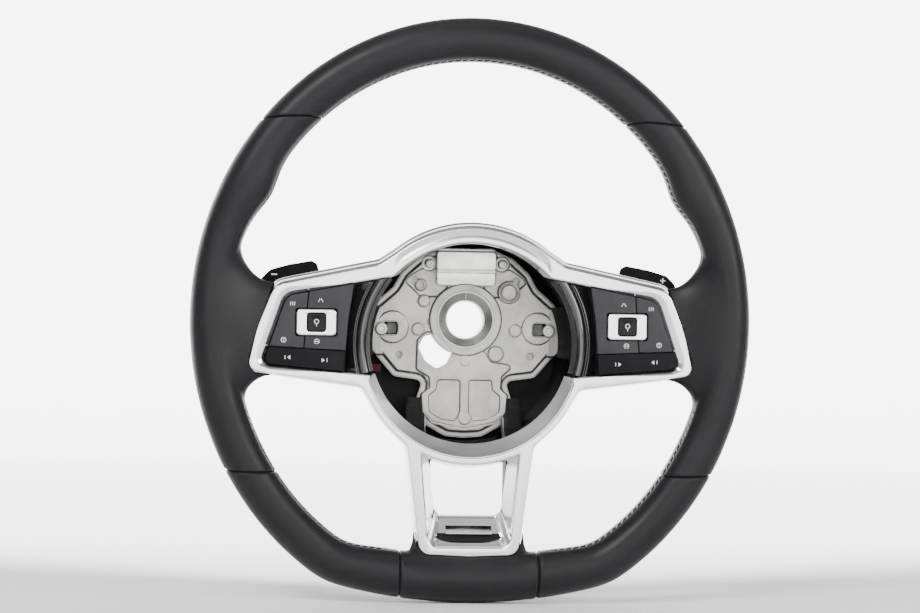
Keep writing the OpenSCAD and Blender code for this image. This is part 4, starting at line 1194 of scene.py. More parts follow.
@dataclass
class SpokeTrim:
    """The silver trim: ring, wings, neck and framed window in one skin, and the inlay on the window's shelf."""

    plan: TrimPlan
    finishes: Finishes
    pitch: float = 2.7
    crease: float = 0.5
    lens_half: float = 24.4

    def opening_rows(self) -> list[Array]:
        """Profile round the opening from its deep edge to the face.

        Each row lies at an offset from the opening's edge and a drop behind the face. Over the top of the ring a
        channel runs between an inner lip and the outer land, along the bottom a narrow groove parts the land from
        the cone inside, and at the tips of the switch openings the edge is a wide bevel.
        """
        p = self.plan
        a, b = p.opening_pair()
        n = outward(a, 3)
        ang = np.degrees(np.arctan2(a[:, 1] + p.ring_drop, a[:, 0]))
        r = np.linalg.norm(a - p.ring_c, axis=1)
        on = smooth((p.ring_in_r + 2.0 - r) / 2.0)
        top = on * smooth((ang - 43.0) / 10.0) * smooth((137.0 - ang) / 10.0)
        low = on * smooth((-14.0 - ang) / 8.0) * smooth((ang + 166.0) / 8.0)
        tip = smooth((np.abs(a[:, 0]) - 84.0) / 46.0) * (1.0 - 0.55 * smooth((-n[:, 1] - 0.4) / 0.5))
        face = p.front
        rows = [raised(b, face - p.deep)]

        lip = 1.5 + 2.45 * tip
        for offset, drop in (
                (-0.35 * low, lip - 0.9 * low),
                (-0.5 * low + 0.05, 0.75 * lip - 0.4 * low),
                (0.12 - 0.45 * low, 0.7 * lip + 1.6 * low),
                (0.18 + 0.1 * low, 0.66 * lip + 1.7 * low),
                (0.25 + 0.35 * low + 0.35 * tip, 0.6 * lip - 0.2 * low),
                (0.5 + 3.5 * tip + 0.2 * low, 0.35 + 0.1 * tip),
                (0.9 + 4.3 * tip, 0.08 + 0.1 * tip),
                (1.3 + 4.6 * tip, 0.0 * tip),
                (1.6 + 4.7 * tip + 2.0 * top, 0.0 * tip),
                (1.8 + 4.8 * tip + 2.4 * top, 0.25 * top),
                (2.0 + 4.8 * tip + 2.7 * top, 1.6 * top),
                (2.2 + 4.8 * tip + 3.1 * top, 1.8 * top),
                (2.4 + 4.8 * tip + 5.2 * top, 0.95 * top),
                (2.6 + 4.8 * tip + 5.7 * top, 0.6 * top),
                (2.8 + 4.8 * tip + 6.2 * top, 0.15 * top),
                (3.0 + 4.8 * tip + 6.3 * top, 0.0 * top)):
            rows.append(raised(a + n * offset[:, None], face - drop))
        return rows

    def window_rows(self) -> list[Array]:
        """Profile down the sloping walls of the lower window, with a lens-shaped recess on the shelf."""
        p = self.plan
        a, b = p.window_pair()
        n = outward(a, 2)
        edge = p.front - self.crease
        rows = [raised(a + n * 0.9, p.front), raised(a + n * 0.45, p.front - 0.12), raised(a + n * 0.1, edge)]
        shelf = smooth((-n[:, 1] - 0.85) / 0.1)
        lens = np.sqrt(np.maximum(0.0, 1.0 - (a[:, 0] / 24.0) ** 2))
        for t, k in ((0.06, 0.0), (0.14, 0.0), (0.17, 1.0), (0.30, 1.0), (0.33, 0.0), (0.5, 0.0), (0.7, 0.0),
                     (0.88, 0.0), (0.9, 0.4), (0.97, 0.4), (1.0, 0.0)):
            q = a + (b - a) * t
            sink = 1.3 * k * shelf * (lens if t < 0.5 else 1.0)
            front = edge - (edge - p.window_back_at) * t
            rows.append(raised(q + n * (0.55 * sink)[:, None], front - 0.8 * sink))
        return rows

    def outer_rows(self) -> list[Array]:
        """Profile round the outside, from the face over a rounded crease and the slope to the back edge.

        The crease is a curve of two ends and a corner: q0 back on the face and q2 down the slope.
        """
        p = self.plan
        n = outward(p.edge, 2)
        s = p.skirt(outward(p.edge, 6))
        rows = []
        run = np.sqrt(s ** 2 + p.slope ** 2)
        q0, q2 = 0.55, 0.5
        for k in (0.0, 0.25, 0.5, 0.75, 1.0):
            o = (1 - k) ** 2 * (-q0) + k ** 2 * (q2 * s / run)
            d = k ** 2 * q2 * p.slope / run
            rows.append(raised(p.edge + n * o[:, None], p.front - d))
        for out, front in (
                (s * 0.5, p.front - p.slope * 0.5), (s * 0.93, p.front - p.slope * 0.93),
                (s, p.front - p.slope - 0.5), (s, p.front - p.deep + 0.3), (s - 0.3, p.front - p.deep),
                (s - p.wall, p.front - p.deep), (s - p.wall, p.front - 2.0 * p.wall)):
            rows.append(raised(p.edge + n * out[:, None], front))
        return rows

    def build(self) -> list[bpy.types.Object]:
        """Builds the trim as one closed skin, and the dark inlay on its shelf."""
        p = self.plan
        outer, opening, window = self.outer_rows(), self.opening_rows(), self.window_rows()
        verts: list[Array] = []
        faces: list = []
        count = 0

        def strip(rows: list[Array]) -> None:
            """Adds the skin between rows."""
            nonlocal count
            block = np.stack(rows)
            faces.extend(grid_faces(len(rows), block.shape[1], False, True, count).tolist())
            verts.append(block.reshape(-1, 3))
            count += block.shape[0] * block.shape[1]

        plane = lambda q: np.stack([q[:, 0], q[:, 2]], axis=-1)
        for rows in (outer, opening, window):
            strip(rows)
        under = 2.0 * p.wall
        deep, lip = plane(opening[0]), plane(opening[1])
        hole_back = raised(lip + outward(lip, 3) * p.wall, p.front - under)
        strip([opening[0], raised(deep + outward(deep, 3) * p.wall, p.front - p.deep), hole_back])
        wn = outward(plane(window[0]), 2)
        window_back = raised(plane(window[0]) + wn * (p.wall * 0.6), p.front - under)
        strip([window[-1], raised(plane(window[-1]) + wn * p.wall, p.window_back_at), window_back])
        for loops, level, back_side in (
                ((outer[0], opening[-1], window[0]), p.front, False),
                ((outer[-1], hole_back, window_back), p.front - under, True)):
            v, t = filled([plane(q) for q in loops], level, self.pitch, back_side)
            faces.extend((np.array(t) + count).tolist())
            verts.append(v)
            count += len(v)
        trim = outside(mesh_object("silver_trim", np.concatenate(verts), faces), merge=2e-6)
        sharpen(trim, 37.0)
        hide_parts("spoke_trim")
        self.finishes.wear(trim, SATIN)
        lens = self.lens()
        self.finishes.wear(lens, PLASTIC)
        for piece in (trim, lens):
            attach(piece, WHEEL)
        return [trim, lens]

    def lens(self) -> bpy.types.Object:
        """Dark lens-shaped inlay on the shelf: straight on top, with an elliptic lower edge."""
        x = self.lens_half * np.sin(np.linspace(-0.495, 0.495, 41) * np.pi)
        bow = np.sqrt(1.0 - (x / self.lens_half) ** 2)
        t = 0.43 - 0.25 * bow[:, None] * np.linspace(0.0, 1.0, 7)[None, :]
        top, low = self.shelf(t, 0.25), self.shelf(t, -0.5)
        xx = np.repeat(x[:, None], 7, axis=1)
        rows = np.concatenate([np.stack([xx, top[0], top[1]], axis=-1),
                               np.stack([xx, low[0], low[1]], axis=-1)[:, ::-1]], axis=1)
        return sharpen(outside(skin("shelf_inlay", rows)), 40.0)

    def shelf(self, t: Array, proud: float) -> tuple[Array, Array]:
        """Front and up of the shelf at a share t of its depth, a little proud of it.

        Args:
            t: share of the way from the window's front edge to its back edge.
            proud: how far above the shelf.

        Returns:
            Distances in front of the hub, and up.
        """
        p = self.plan
        fall, rise = p.front - self.crease - p.window_back_at, p.window_low - p.shelf_low
        size = math.hypot(fall, rise)
        front = p.front - self.crease - fall * t + proud * rise / size
        return front, -p.window_low + rise * t + proud * fall / size


# Reliefs: plates whose face is a height over the plan


def relief(name: str, lo: Sequence[float], hi: Sequence[float], pitch: float, region: Callable[[Array], Array],
           height: Callable[[Array], Array], back: Callable[[Array], Array] | float | None,
           edge: Callable[[Array], Array] | None = None) -> bpy.types.Object:
    """Plate over a region of the plan.

    Grid points near the region's border are moved onto it along the slope of its distance, so that the outline
    is even: q = p - s grad s. The face stands at height(q), and the back, if any, at back(q).

    Args:
        name: the object's name.
        lo: lowest corner of the grid.
        hi: highest corner of the grid.
        pitch: distance between grid lines.
        region: signed distance to the region's border, negative inside.
        height: distance of the face in front of the hub.
        back: distance of the back in front of the hub; None leaves the plate open behind.
        edge: gives the attribute called edge, from 0 to 1, the share of painted shade that a finish darkens in.

    Returns:
        The object.
    """
    x = np.arange(lo[0], hi[0] + pitch, pitch)
    z = np.arange(lo[1], hi[1] + pitch, pitch)
    p = np.stack(np.meshgrid(x, z, indexing="ij"), axis=-1)
    for _ in range(2):
        s = region(p)
        e = 0.02
        gx = (region(p + np.array([e, 0.0])) - s) / e
        gz = (region(p + np.array([0.0, e])) - s) / e
        near = np.abs(s) < 0.72 * pitch
        move = np.stack([gx, gz], axis=-1) * (s * near)[..., None]
        size = np.linalg.norm(move, axis=-1, keepdims=True)
        move *= np.minimum(1.0, 0.72 * pitch / np.maximum(size, 1e-9))
        p = p - move
    s = region(p)
    ok = s < 0.12 * pitch
    m, n = s.shape
    quads = grid_faces(m, n, False, False)
    quads = quads[ok.ravel()[quads].all(axis=1)]
    used, inv = np.unique(quads, return_inverse=True)
    quads = inv.reshape(-1, 4)
    flat = p.reshape(-1, 2)[used]
    top = np.stack([flat[:, 0], height(flat), flat[:, 1]], axis=-1)
    verts, faces = [top], [quads]
    if back is not None:
        b = back(flat) if callable(back) else np.full(len(flat), float(back))
        verts.append(np.stack([flat[:, 0], b, flat[:, 1]], axis=-1))
        faces.append(quads[:, ::-1] + len(flat))
        sides = np.concatenate([quads[:, [i, (i + 1) % 4]] for i in range(4)])
        key = np.sort(sides, axis=1)
        _, first, hits = np.unique(key, axis=0, return_index=True, return_counts=True)
        rim_e = sides[first[hits == 1]]
        faces.append(np.stack([rim_e[:, 1], rim_e[:, 0], rim_e[:, 0] + len(flat), rim_e[:, 1] + len(flat)], axis=-1))
    obj = mesh_object(name, np.concatenate(verts), np.concatenate(faces).tolist())
    outside(obj)
    if edge is not None:
        # The edge attribute carries painted shade: how much the finish darkens each point.
        mark = obj.data.attributes.new("edge", "FLOAT", "POINT")
        value = edge(flat)
        if back is not None:
            value = np.concatenate([value, np.zeros(len(flat))])
        mark.data.foreach_set("value", value.astype(np.float32))
    return obj


def rolled(s: Array, r: float) -> Array:
    """Drop of a rounded edge at signed distance s inside it: r - sqrt(r^2 - (r + s)^2) within r of the edge."""
    g = np.clip(r + s, 0.0, r)
    return r - np.sqrt(np.maximum(r * r - g * g, 0.0))


def stepped(s: Array, run: float) -> Array:
    """Share of a raised level: 1 inside the outline, falling to 0 over the run outside it."""
    return smooth(1.0 - s / run)


@dataclass
class CastHub:
    """Face of the die-cast hub: levels with drafted, rounded steps, laid close over the casting.

    cover is how far it lies over the solid, border the width of the outer step and field_t the height of the field.
    """

    finishes: Finishes
    cover: float = 0.22
    border: float = 4.5
    field_t: float = 3.0
    pitch: float = 0.5

    def outlines(self) -> None:
        """Works out the outlines of the casting's levels."""
        half = np.array([
            [0, 47.4], [20, 46], [32, 40.6], [42.5, 31], [48, 21], [60, 10.5], [66.4, -6], [62.5, -20], [53.5, -30.5],
            [47, -38], [27.6, -40.6], [32.6, -56], [25.5, -70], [12, -77.6], [0, -78.4]], float)
        radii = [40, 8, 8, 8, 8, 8, 10, 8, 8, 5, 3.5, 9, 10, 12, 20]
        self.plate = rounded(both_sides(half), radii + radii[13:0:-1], 4)
        self.upper = rounded([
            [12, 20.8], [18, 14.6], [30, 14.4], [41, 24.6], [38.4, 28.4], [30, 33.8], [12, 35]], 2.0, 3)
        self.web = rounded([
            [-31.4, -14], [-26, -9], [-10, -10], [12.3, -21], [17.2, -28.4], [31.8, -30.4], [24.2, -37.4],
            [23.6, -46], [28.4, -50], [27.6, -61.5], [20.6, -67.8], [0, -71.8], [-20.6, -67.8], [-27.6, -61.5],
            [-28.4, -50], [-22.6, -46], [-23.2, -38], [-31.8, -33]], 1.6, 3)
        self.pocket = rounded([[2.6, -39.8], [18.4, -39.8], [19, -46.4], [24.2, -50.6], [23.6, -61.8], [15.6, -66.4],
                               [5.6, -67.8], [2.6, -61]], 2.0, 3)
        self.shaped = rounded([[-31, -18.5], [-27.5, -11.4], [-19.5, -9.6], [-8.2, -21.6], [-12, -29.5], [-18.5, -33],
                               [-26.4, -27.6]], 3.0, 4)
        self.bosses = [(-29.9, 22.8, 3.5, 1.4), (-27.7, 12.1, 3.7, 2.2), (-31.4, -6.7, 4, 1.2),
                       (-21.5, -1.8, 3.4, 0.8),
                       (33.4, -6.8, 4, 1.2), (28.9, 18.5, 7, 2.2), (20.6, -22.6, 4.9, 2.6), (0.2, -27.5, 3.4, 1.6),
                       (0.4, -65.5, 4.3, 1.6)]

    @staticmethod
    def round_at(p: Array, x: float, z: float, r: float) -> Array:
        """Signed distance to a circle."""
        return np.hypot(p[..., 0] - x, p[..., 1] - z) - r

    @staticmethod
    def box_at(p: Array, x: float, z: float, hw: float, hh: float) -> Array:
        """Signed distance to a rectangle."""
        q = np.stack([np.abs(p[..., 0] - x) - hw, np.abs(p[..., 1] - z) - hh], axis=-1)
        return np.linalg.norm(np.maximum(q, 0.0), axis=-1) + np.minimum(q.max(axis=-1), 0.0)

    def holes(self, p: Array) -> Array:
        """Signed distance to the nearest hole, negative in it."""
        mx = np.stack([np.abs(p[..., 0]), p[..., 1]], axis=-1)
        d = np.minimum(self.round_at(p, 0, 0, 18.7), distance(p, self.shaped))
        d = np.minimum(d, self.round_at(mx, 24.4, 37.2, 5.0))
        d = np.minimum(d, self.box_at(mx, 50.0, -6.2, 2.6, 2.2) - 2.2)
        d = np.minimum(d, self.round_at(mx, 55.7, -6.8, 4.2))
        for x, z in ((44, -24), (34, 26)):
            d = np.minimum(d, self.round_at(mx, x, z, 2.15))
        return np.minimum(d, self.round_at(p, -29.9, 22.8, 1.9))

    def region(self, p: Array) -> Array:
        """Signed distance to the casting's metal."""
        return np.maximum(distance(p, self.plate) - self.cover, -self.holes(p) + 0.04)

    def level(self, p: Array) -> Array:
        """Height of the casting's face: each level adds its step, and the rims of holes are rolled in."""
        mx = np.stack([np.abs(p[..., 0]), p[..., 1]], axis=-1)
        out = distance(p, self.plate)
        f = self.field_t
        inner = distance(p, grown(self.plate, -self.border))
        h = f * stepped(inner, 1.2)
        up = distance(mx, self.upper)
        h = h - 1.8 * stepped(up + 0.9, 0.9)
        web = distance(p, self.web)
        h = h + (f + 1.2 - h) * stepped(web, 1.0)
        pocket = distance(mx, self.pocket)
        h = h - (h - (f - 1.4)) * stepped(pocket + 1.3, 1.3) * (pocket < 0.0)
        arm = np.interp(mx[..., 0], [50.0, 66.0], [-0.2, 8.0]) + 0.3
        on_arm = stepped(np.maximum(np.abs(mx[..., 1] + 8.0) - 15.6, mx[..., 0] - 66.0), 0.8) * (mx[..., 0] > 49.0)
        h = np.maximum(h, arm * on_arm)
        lug = self.round_at(mx, 48.4, -5.4, 10.4)
        open_out = np.maximum(np.abs(mx[..., 1] + 6.2) - 4.4, 49.0 - mx[..., 0])
        h = np.maximum(h, (f + 1.2) * stepped(np.maximum(lug, -open_out - 0.2), 0.6))
        for x, z, r, t in self.bosses:
            d = self.round_at(p, x, z, r)
            h = np.where(d < 0.6, np.maximum(h, (f + t) * stepped(d, 0.6) - rolled(np.minimum(d, 0.0), 0.5)), h)
        ring = np.maximum(self.round_at(p, 28.9, 18.5, 6.0), -self.round_at(p, 28.9, 18.5, 4.9))
        h = h - 1.1 * stepped(ring + 0.35, 0.5)
        boss = self.round_at(p, 0, 0, 23.6)
        h = np.maximum(h, (f + 2.4) * stepped(boss, 0.8))
        h = h + self.cover - rolled(out - self.cover, 0.9) * (out > -1.0)
        return h - 0.6 * rolled(-self.holes(p), 0.7)

    def steep(self, p: Array) -> Array:
        """Share of painted shade: more where the face slopes hard, at the foot of each step, and in a ring round each
        hole.
        """
        e = 0.3
        gx, gz = ((self.level(p + way) - self.level(p - way)) / (2 * e) for way in np.eye(2) * e)
        # Painted shade in a ring within 0.9 mm of each hole.
        near = 0.55 * smooth((0.9 - np.maximum(self.holes(p), 0.0)) / 0.9)
        return np.clip(np.hypot(gx, gz) * 0.8 - 0.12 + near, 0.0, 0.85)

    def build(self) -> list[bpy.types.Object]:
        """Builds the face and dresses it."""
        self.outlines()
        lo, hi = self.plate.min(axis=0) - 1.0, self.plate.max(axis=0) + 1.0
        # The face carries painted shade in its edge attribute.
        piece = relief("hub_casting_face", lo, hi, self.pitch, self.region, self.level, None, self.steep)
        self.finishes.wear(piece, CAST)
        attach(piece, WHEEL)
        return [piece]


def grown(outline: Array, d: float) -> Array:
    """Outline moved outward by a distance along its points' directions."""
    return outline + outward(outline) * d


# The hub's fittings


@dataclass
class HubFittings:
    """White plate, pins, covers of the lower arms and floors of the lugs' slots."""

    finishes: Finishes
    field_t: float = 3.0
    plate_t: float = 4.0
    pin: tuple[float, float] = (24.4, 37.2)
    lug_pin: tuple[float, float] = (55.7, -6.8)

    def white_plate(self) -> bpy.types.Object:
        """White plate: a rounded frame with a raised field, creased a third of the way up, cut round the boss."""
        base = rounded([[-20, 22.4], [20, 22.4], [20, 47.6], [-20, 47.6]], 2.7, 5)
        top = rounded([[-19.4, 33.4], [19.4, 33.4], [19.4, 44.9], [-19.4, 44.9]], 1.6, 4)

        def region(p: Array) -> Array:
            """Inside the base and outside the boss."""
            return np.maximum(distance(p, base), 24.05 - np.hypot(p[..., 0], p[..., 1]))

        def height(p: Array) -> Array:
            """Face with a rolled edge, a slope below the crease and a raised field above it."""
            s = distance(p, base)
            low = 0.5 * smooth((29.0 - p[..., 1]) / 7.0)
            fold = 0.35 * bell(p[..., 1] - 31.6, 0.5)
            return self.field_t + 3.4 - rolled(s, 0.9) - low - fold + 0.6 * stepped(distance(p, top), 0.6)

        lo, hi = base.min(axis=0) - 0.6, base.max(axis=0) + 0.6
        piece = relief("white_hub_plate", lo, hi, 0.42, region, height, self.field_t + 0.32)
        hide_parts("blank_plate")
        self.finishes.wear(piece, WHITE)
        return sharpen(piece, 60.0)

    def pins(self) -> list[bpy.types.Object]:
        """Locating pins and lug pins: turned, with a chamfer, a groove and a small dimple."""
        f, b = self.field_t, -self.plate_t
        x, z = self.pin
        prof = [(0.0, b), (4.9, b), (4.9, b + 1.6), (4.5, b + 2.0), (3.0, b + 2.0), (3.0, f + 3.2), (2.7, f + 3.8),
                (2.3, f + 4.0), (1.2, f + 4.0), (0.9, f + 3.6), (0.0, f + 3.5)]
        locating = join("locating_pin_pair", [turned("pin", prof, s * x, z) for s in (-1, 1)])
        x, z = self.lug_pin
        r = 4.1
        prof = [(0.0, b), (r, b), (r, f + 1.7), (r - 0.5, f + 2.3), (r - 1.0, f + 2.4), (2.3, f + 2.4),
                (2.1, f + 2.1),
                (1.9, f + 1.9), (0.0, f + 1.9)]
        lug = join("lug_pin_pair", [turned("pin", prof, s * x, z) for s in (-1, 1)])
        for piece, node in ((locating, "locating_pins"), (lug, "lug_pins")):
            sharpen(outside(piece), 35.0)
            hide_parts(node)
            self.finishes.wear(piece, STEEL)
        return [locating, lug]

    def leg_covers(self) -> bpy.types.Object:
        """Black covers on the two lower arms, curved like a ridge tile and following the arms' rise."""
        parts = []
        u = np.linspace(-1.0, 1.0, 15)
        v = np.linspace(52.0, 81.0, 24)
        arm = np.interp(v, [58.0, 72.0, 92.0], [-0.2, 7.0, 31.0])
        for k in (-1.0, 1.0):
            x = np.broadcast_to(k * (32.6 + 6.2 * u[None, :]), (len(v), len(u)))
            z = np.repeat(-v[:, None], len(u), axis=1)
            top = np.stack([x, arm[:, None] + 0.9 + 0.9 * np.sqrt(1.0 - 0.96 * u ** 4)[None, :], z], axis=-1)
            low = np.stack([x, np.repeat(arm[:, None] + 0.25, len(u), axis=1), z], axis=-1)[:, ::-1]
            parts.append(outside(skin("cover", np.concatenate([top, low], axis=1))))
        piece = sharpen(join("lower_arm_covers", parts), 40.0)
        self.finishes.wear(piece, PLASTIC)
        return piece

    def slot_floors(self) -> bpy.types.Object:
        """Grey floors of the two slots in the lugs."""
        parts = []
        for k in (-1.0, 1.0):
            floor = rounded([(k * 45.4, -10.0), (k * 52.2, -10.0), (k * 52.2, -2.4), (k * 45.4, -2.4)], 1.6, 4)
            if area(floor) < 0.0:
                floor = floor[::-1]
            parts.append(plate("floor", floor, edge_profile(-1.6, -0.5, 0.3, 2, 0.2)))
        piece = sharpen(join("lug_slot_floors", parts), 40.0)
        self.finishes.wear(piece, DULL)
        return piece

    def build(self) -> list[bpy.types.Object]:
        """Builds the fittings and lets them ride on the wheel."""
        made = [self.white_plate(), *self.pins(), self.leg_covers(), self.slot_floors()]
        for piece in made:
            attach(piece, WHEEL)
        return made


# Switch pads


@dataclass
class SwitchPad:
    """Keys, toggle, centre button and gloss cheek of one side."""

    side: Side
    trim: TrimPlan
    finishes: Finishes
    nodes: dict[str, bpy.types.Object]
    key_front: float = 57.0
    toggle_z: float = -3.2

    def node(self, part: str) -> str:
        """The CAD node's name of a part on this side."""
        return f"{self.side.word}_{part}"

    def eased(self, part: str, name: str, width: float, finish: Finish,
              body: str | None = None) -> bpy.types.Object:
        """A CAD node of this side with its edges rounded, which replaces the node."""
        piece = softened(f"{self.side.word}_{name}", self.nodes[self.node(part)], width)
        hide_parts(self.node(part))
        self.finishes.wear(piece, finish)
        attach(piece, body or self.node(part))
        return piece

    def sign(self, name: str, shapes: Sequence[Array], front: float, body: str) -> bpy.types.Object:
        """Thin printed signs that stand 0.05 mm proud of a key."""
        parts = [plate("sign", s, [(0.0, front - 0.15), (0.0, front + 0.05)]) for s in shapes]
        piece = join(f"{self.side.word}_{name}", parts)
        self.finishes.wear(piece, SIGN)
        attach(piece, body)
        return piece

    def at(self, x: float, z: float, points: Sequence[Sequence[float]], turn: float = 0.0) -> Array:
        """A small outline turned and put at a place on this side of the plan."""
        p = np.asarray(points, dtype=float)
        c, s = math.cos(math.radians(turn)), math.sin(math.radians(turn))
        q = np.stack([p[:, 0] * c - p[:, 1] * s, p[:, 0] * s + p[:, 1] * c], axis=-1)
        return q + np.array([self.side.value * x, z])

    def signs(self) -> list[bpy.types.Object]:
        """Plain signs: bars, arrows, rings and dots."""
        k = float(self.side.value)
        x, f = self.trim.toggle_x, self.key_front
        tri = [(-1.3, -0.8), (1.3, -0.8), (0.0, 1.1)]
        bar = [(-1.2, -0.2), (1.2, -0.2), (1.2, 0.2), (-1.2, 0.2)]
        ring = np.concatenate([arc((0, 0), 1.7, 12, 348, 26), arc((0, 0), 1.3, 348, 12, 26)])
        outer = [self.at(x + 15.5 + d, 8.6, bar, 90.0) for d in (-1.3, 0.0, 1.3)]
        outer += [self.at(x + 21.0, -14.8, ring, 90.0), self.at(x + 21.0, -14.4, bar, 90.0)]
        inner = [self.at(x - 3.4, 11.0, bar, 62.0 * k), self.at(x - 1.6, 11.0, bar, 118.0 * k)]
        inner += [self.at(x - 0.4, -15.6, ring, -90.0), self.at(x - 0.4, -15.6, bar)]
        low = [self.at(x + 17.3, -26.0, tri, 90.0), self.at(x + 19.9, -26.0, bar, 90.0)]
        low += [self.at(x - 4.6, -27.6, tri, -90.0), self.at(x - 7.2, -27.6, bar, 90.0)]
        return [self.sign("outer_key_signs", outer, f, self.node("outer_key")),
                self.sign("inner_key_signs", inner, f, self.node("inner_key")),
                self.sign("lower_key_signs", low, f - 0.6, self.node("lower_key"))]

    def build(self) -> list[bpy.types.Object]:
        """Builds and dresses the pad."""
        made = [
            self.eased("outer_key", "outer_key_cap", 0.9, KEY),
            self.eased("inner_key", "inner_key_cap", 0.9, KEY),
            self.eased("lower_key", "lower_key_cap", 0.9, KEY_LOW),
            self.toggle(),
            self.button(),
            self.cheek(),
            self.eased("housing", "switch_tub", 0.4, PLASTIC, WHEEL),
        ]
        return made + [self.backing(), self.shroud(), self.button_sign()] + self.signs()

    def button(self) -> bpy.types.Object:
        """Centre button: a rounded square cap that is dished a little, on a short stem."""
        x, z = self.side.value * self.trim.toggle_x, self.toggle_z
        cap = rounded(square(x, z, 6.05), 1.9, 6)
        body = plate("cap", cap, edge_profile(51.2, self.key_front + 1.1, 0.9, 5, 0.3), crown=-0.35)
        lo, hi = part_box(self.node("centre_button"))
        stem = plate("stem", square(x, z, 2), [(0.0, -hi[1] * MM - HUB_SHIFT), (0.0, 51.6)])
        piece = sharpen(join(f"{self.side.word}_centre_button_cap", [body, stem]))
        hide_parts(self.node("centre_button"))
        self.finishes.wear(piece, GLOSS)
        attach(piece, self.node("centre_button"))
        return piece

    def cheek(self) -> bpy.types.Object:
        """Gloss cheek: a convex ridge along the ring, a groove, a thin crest and a land that falls to the keys.

        Its height is a profile over the distance d from the ring, cut off where the keys begin; the ridge in it
        rises by 2.9 (1 - |2s - 1|^2.2)^0.6 over its width.
        """
        p = self.trim
        side = float(self.side.value)
        a = np.radians(np.linspace(38.2, -15.9, 70))
        ends = np.array([[81.1, -34.5], [80.6, -20.0], [78.6, 0.0], [75.3, 21.4], [64.0, 23.9],
                         [52.4, 26.4]]) - p.deep_c
        order = np.argsort(np.arctan2(ends[:, 1], ends[:, 0]))
        reach = np.interp(a, np.arctan2(ends[:, 1], ends[:, 0])[order], np.hypot(ends[:, 0], ends[:, 1])[order])
        s = np.linspace(0.0, 1.0, 25)
        ridge = -3.2 + 2.9 * np.maximum(0.0, 1.0 - np.abs(2.0 * s - 1.0) ** 2.2) ** 0.6
        crest = np.array([(9.1, -3.5), (9.7, -3.5), (10.0, -3.0), (10.2, -2.0), (10.5, -1.75), (10.8, -1.75),
                          (11.1, -1.95), (11.5, -2.3), (14.0, -4.0), (17.5, -6.2), (20.0, -7.0)])
        d = np.concatenate([[0.0, 0.3, 1.5], 2.2 + 6.6 * s, crest[:, 0]])
        h = np.concatenate([[-7.6, -7.0, -4.6], ridge, crest[:, 1]])
        r = np.minimum(p.deep_r + 0.9 + d[None, :], np.maximum(reach, p.deep_r + 1.5)[:, None])
        keep = p.deep_r + 0.9 + d[None, :] <= reach[:, None] + 0.01
        front = p.front + np.where(keep, h[None, :], np.interp(r - p.deep_r - 0.9, d, h))
        x, z = side * (p.deep_c[0] + r * np.cos(a)[:, None]), p.deep_c[1] + r * np.sin(a)[:, None]
        top = np.stack([x, front, z], axis=-1)
        under = top[:, ::-1].copy()
        under[..., 1] = p.front - 8.0
        piece = skin(f"{self.side.word}_gloss_cheek", np.concatenate([top, under], axis=1))
        outside(piece, merge=1e-6)
        sharpen(piece, 50.0)
        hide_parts(self.node("cheek"))
        self.finishes.wear(piece, RIDGE)
        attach(piece, WHEEL)
        return piece

    def toggle(self) -> bpy.types.Object:
        """Bright toggle: a rounded frame round a rounded hole, dished a little, on two pegs."""
        lo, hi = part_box(self.node("toggle"))
        x0, x1, z0, z1 = lo[0] * MM, hi[0] * MM, lo[2] * MM, hi[2] * MM
        back, front = -hi[1] * MM - HUB_SHIFT, -lo[1] * MM - HUB_SHIFT
        frame = rounded([(x0, z0), (x1, z0), (x1, z1), (x0, z1)], 2.9, 8)
        body = plate("frame", frame, edge_profile(self.key_front - 5.0, front, 0.9, 5, 0.3), crown=-0.3)
        x = self.side.value * self.trim.toggle_x
        hole = rounded(square(x, self.toggle_z, 6.4), 2.2, 6)
        combine(body, skin("hole", np.stack([raised(hole, back - 2.0), raised(hole, front + 2.0)])), "DIFFERENCE")
        pegs = [plate("peg", square(x, q, 0.6), [(0.0, back), (0.0, self.key_front - 4.5)])
                for q in (z0 + 0.9, z1 - 0.9)]
        body = sharpen(join(f"{self.side.word}_toggle_frame", [body, *pegs]), 40.0)
        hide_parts(self.node("toggle"))
        self.finishes.wear(body, CHROME)
        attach(body, self.node("toggle"))
        return body

    def shroud(self) -> bpy.types.Object:
        """Black cover over the spoke's arm between the hub and the cheek; it lies on the arm and follows its rise."""
        p = self.trim
        side = float(self.side.value)
        a = np.radians(np.linspace(22.0, -8.0, 30))
        r = p.deep_r + np.linspace(-3.4, 6.6, 10)
        arm = np.interp(r, [50.0, 66.0, 84.0], [-0.2, 8.0, 28.5])
        wave = 0.35 * np.cos(np.degrees(a) * 0.9)
        x = side * (p.deep_c[0] + r[None, :] * np.cos(a)[:, None])
        z = p.deep_c[1] + r[None, :] * np.sin(a)[:, None]
        top = np.stack([x, (arm + 1.6)[None, :] + wave[:, None], z], axis=-1)
        low = np.stack([x, np.broadcast_to(arm + 0.25, x.shape), z], axis=-1)
        piece = skin(f"{self.side.word}_arm_shroud", np.concatenate([top, low[:, ::-1]], axis=1))
        sharpen(outside(piece), 40.0)
        self.finishes.wear(piece, PLASTIC)
        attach(piece, WHEEL)
        return piece

    def backing(self) -> bpy.types.Object:
        """Black web behind the cheek that closes the joint between the cheek and the keys."""
        p = self.trim
        inner = arc(p.deep_c, p.deep_r + 1.6, 41.0, -14.8, 20)
        outline = np.concatenate([inner, [[70.0, -35.8], [84.0, -35.0], [84.0, 22.5], [76.0, 25.0], [56.0, 29.4]]])
        outline = outline * np.array([float(self.side.value), 1.0])
        piece = plate(f"{self.side.word}_cheek_backing", outline, edge_profile(44.9, 47.2, 0.3, 2, 0.2))
        sharpen(piece)
        self.finishes.wear(piece, PLASTIC)
        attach(piece, WHEEL)
        return piece

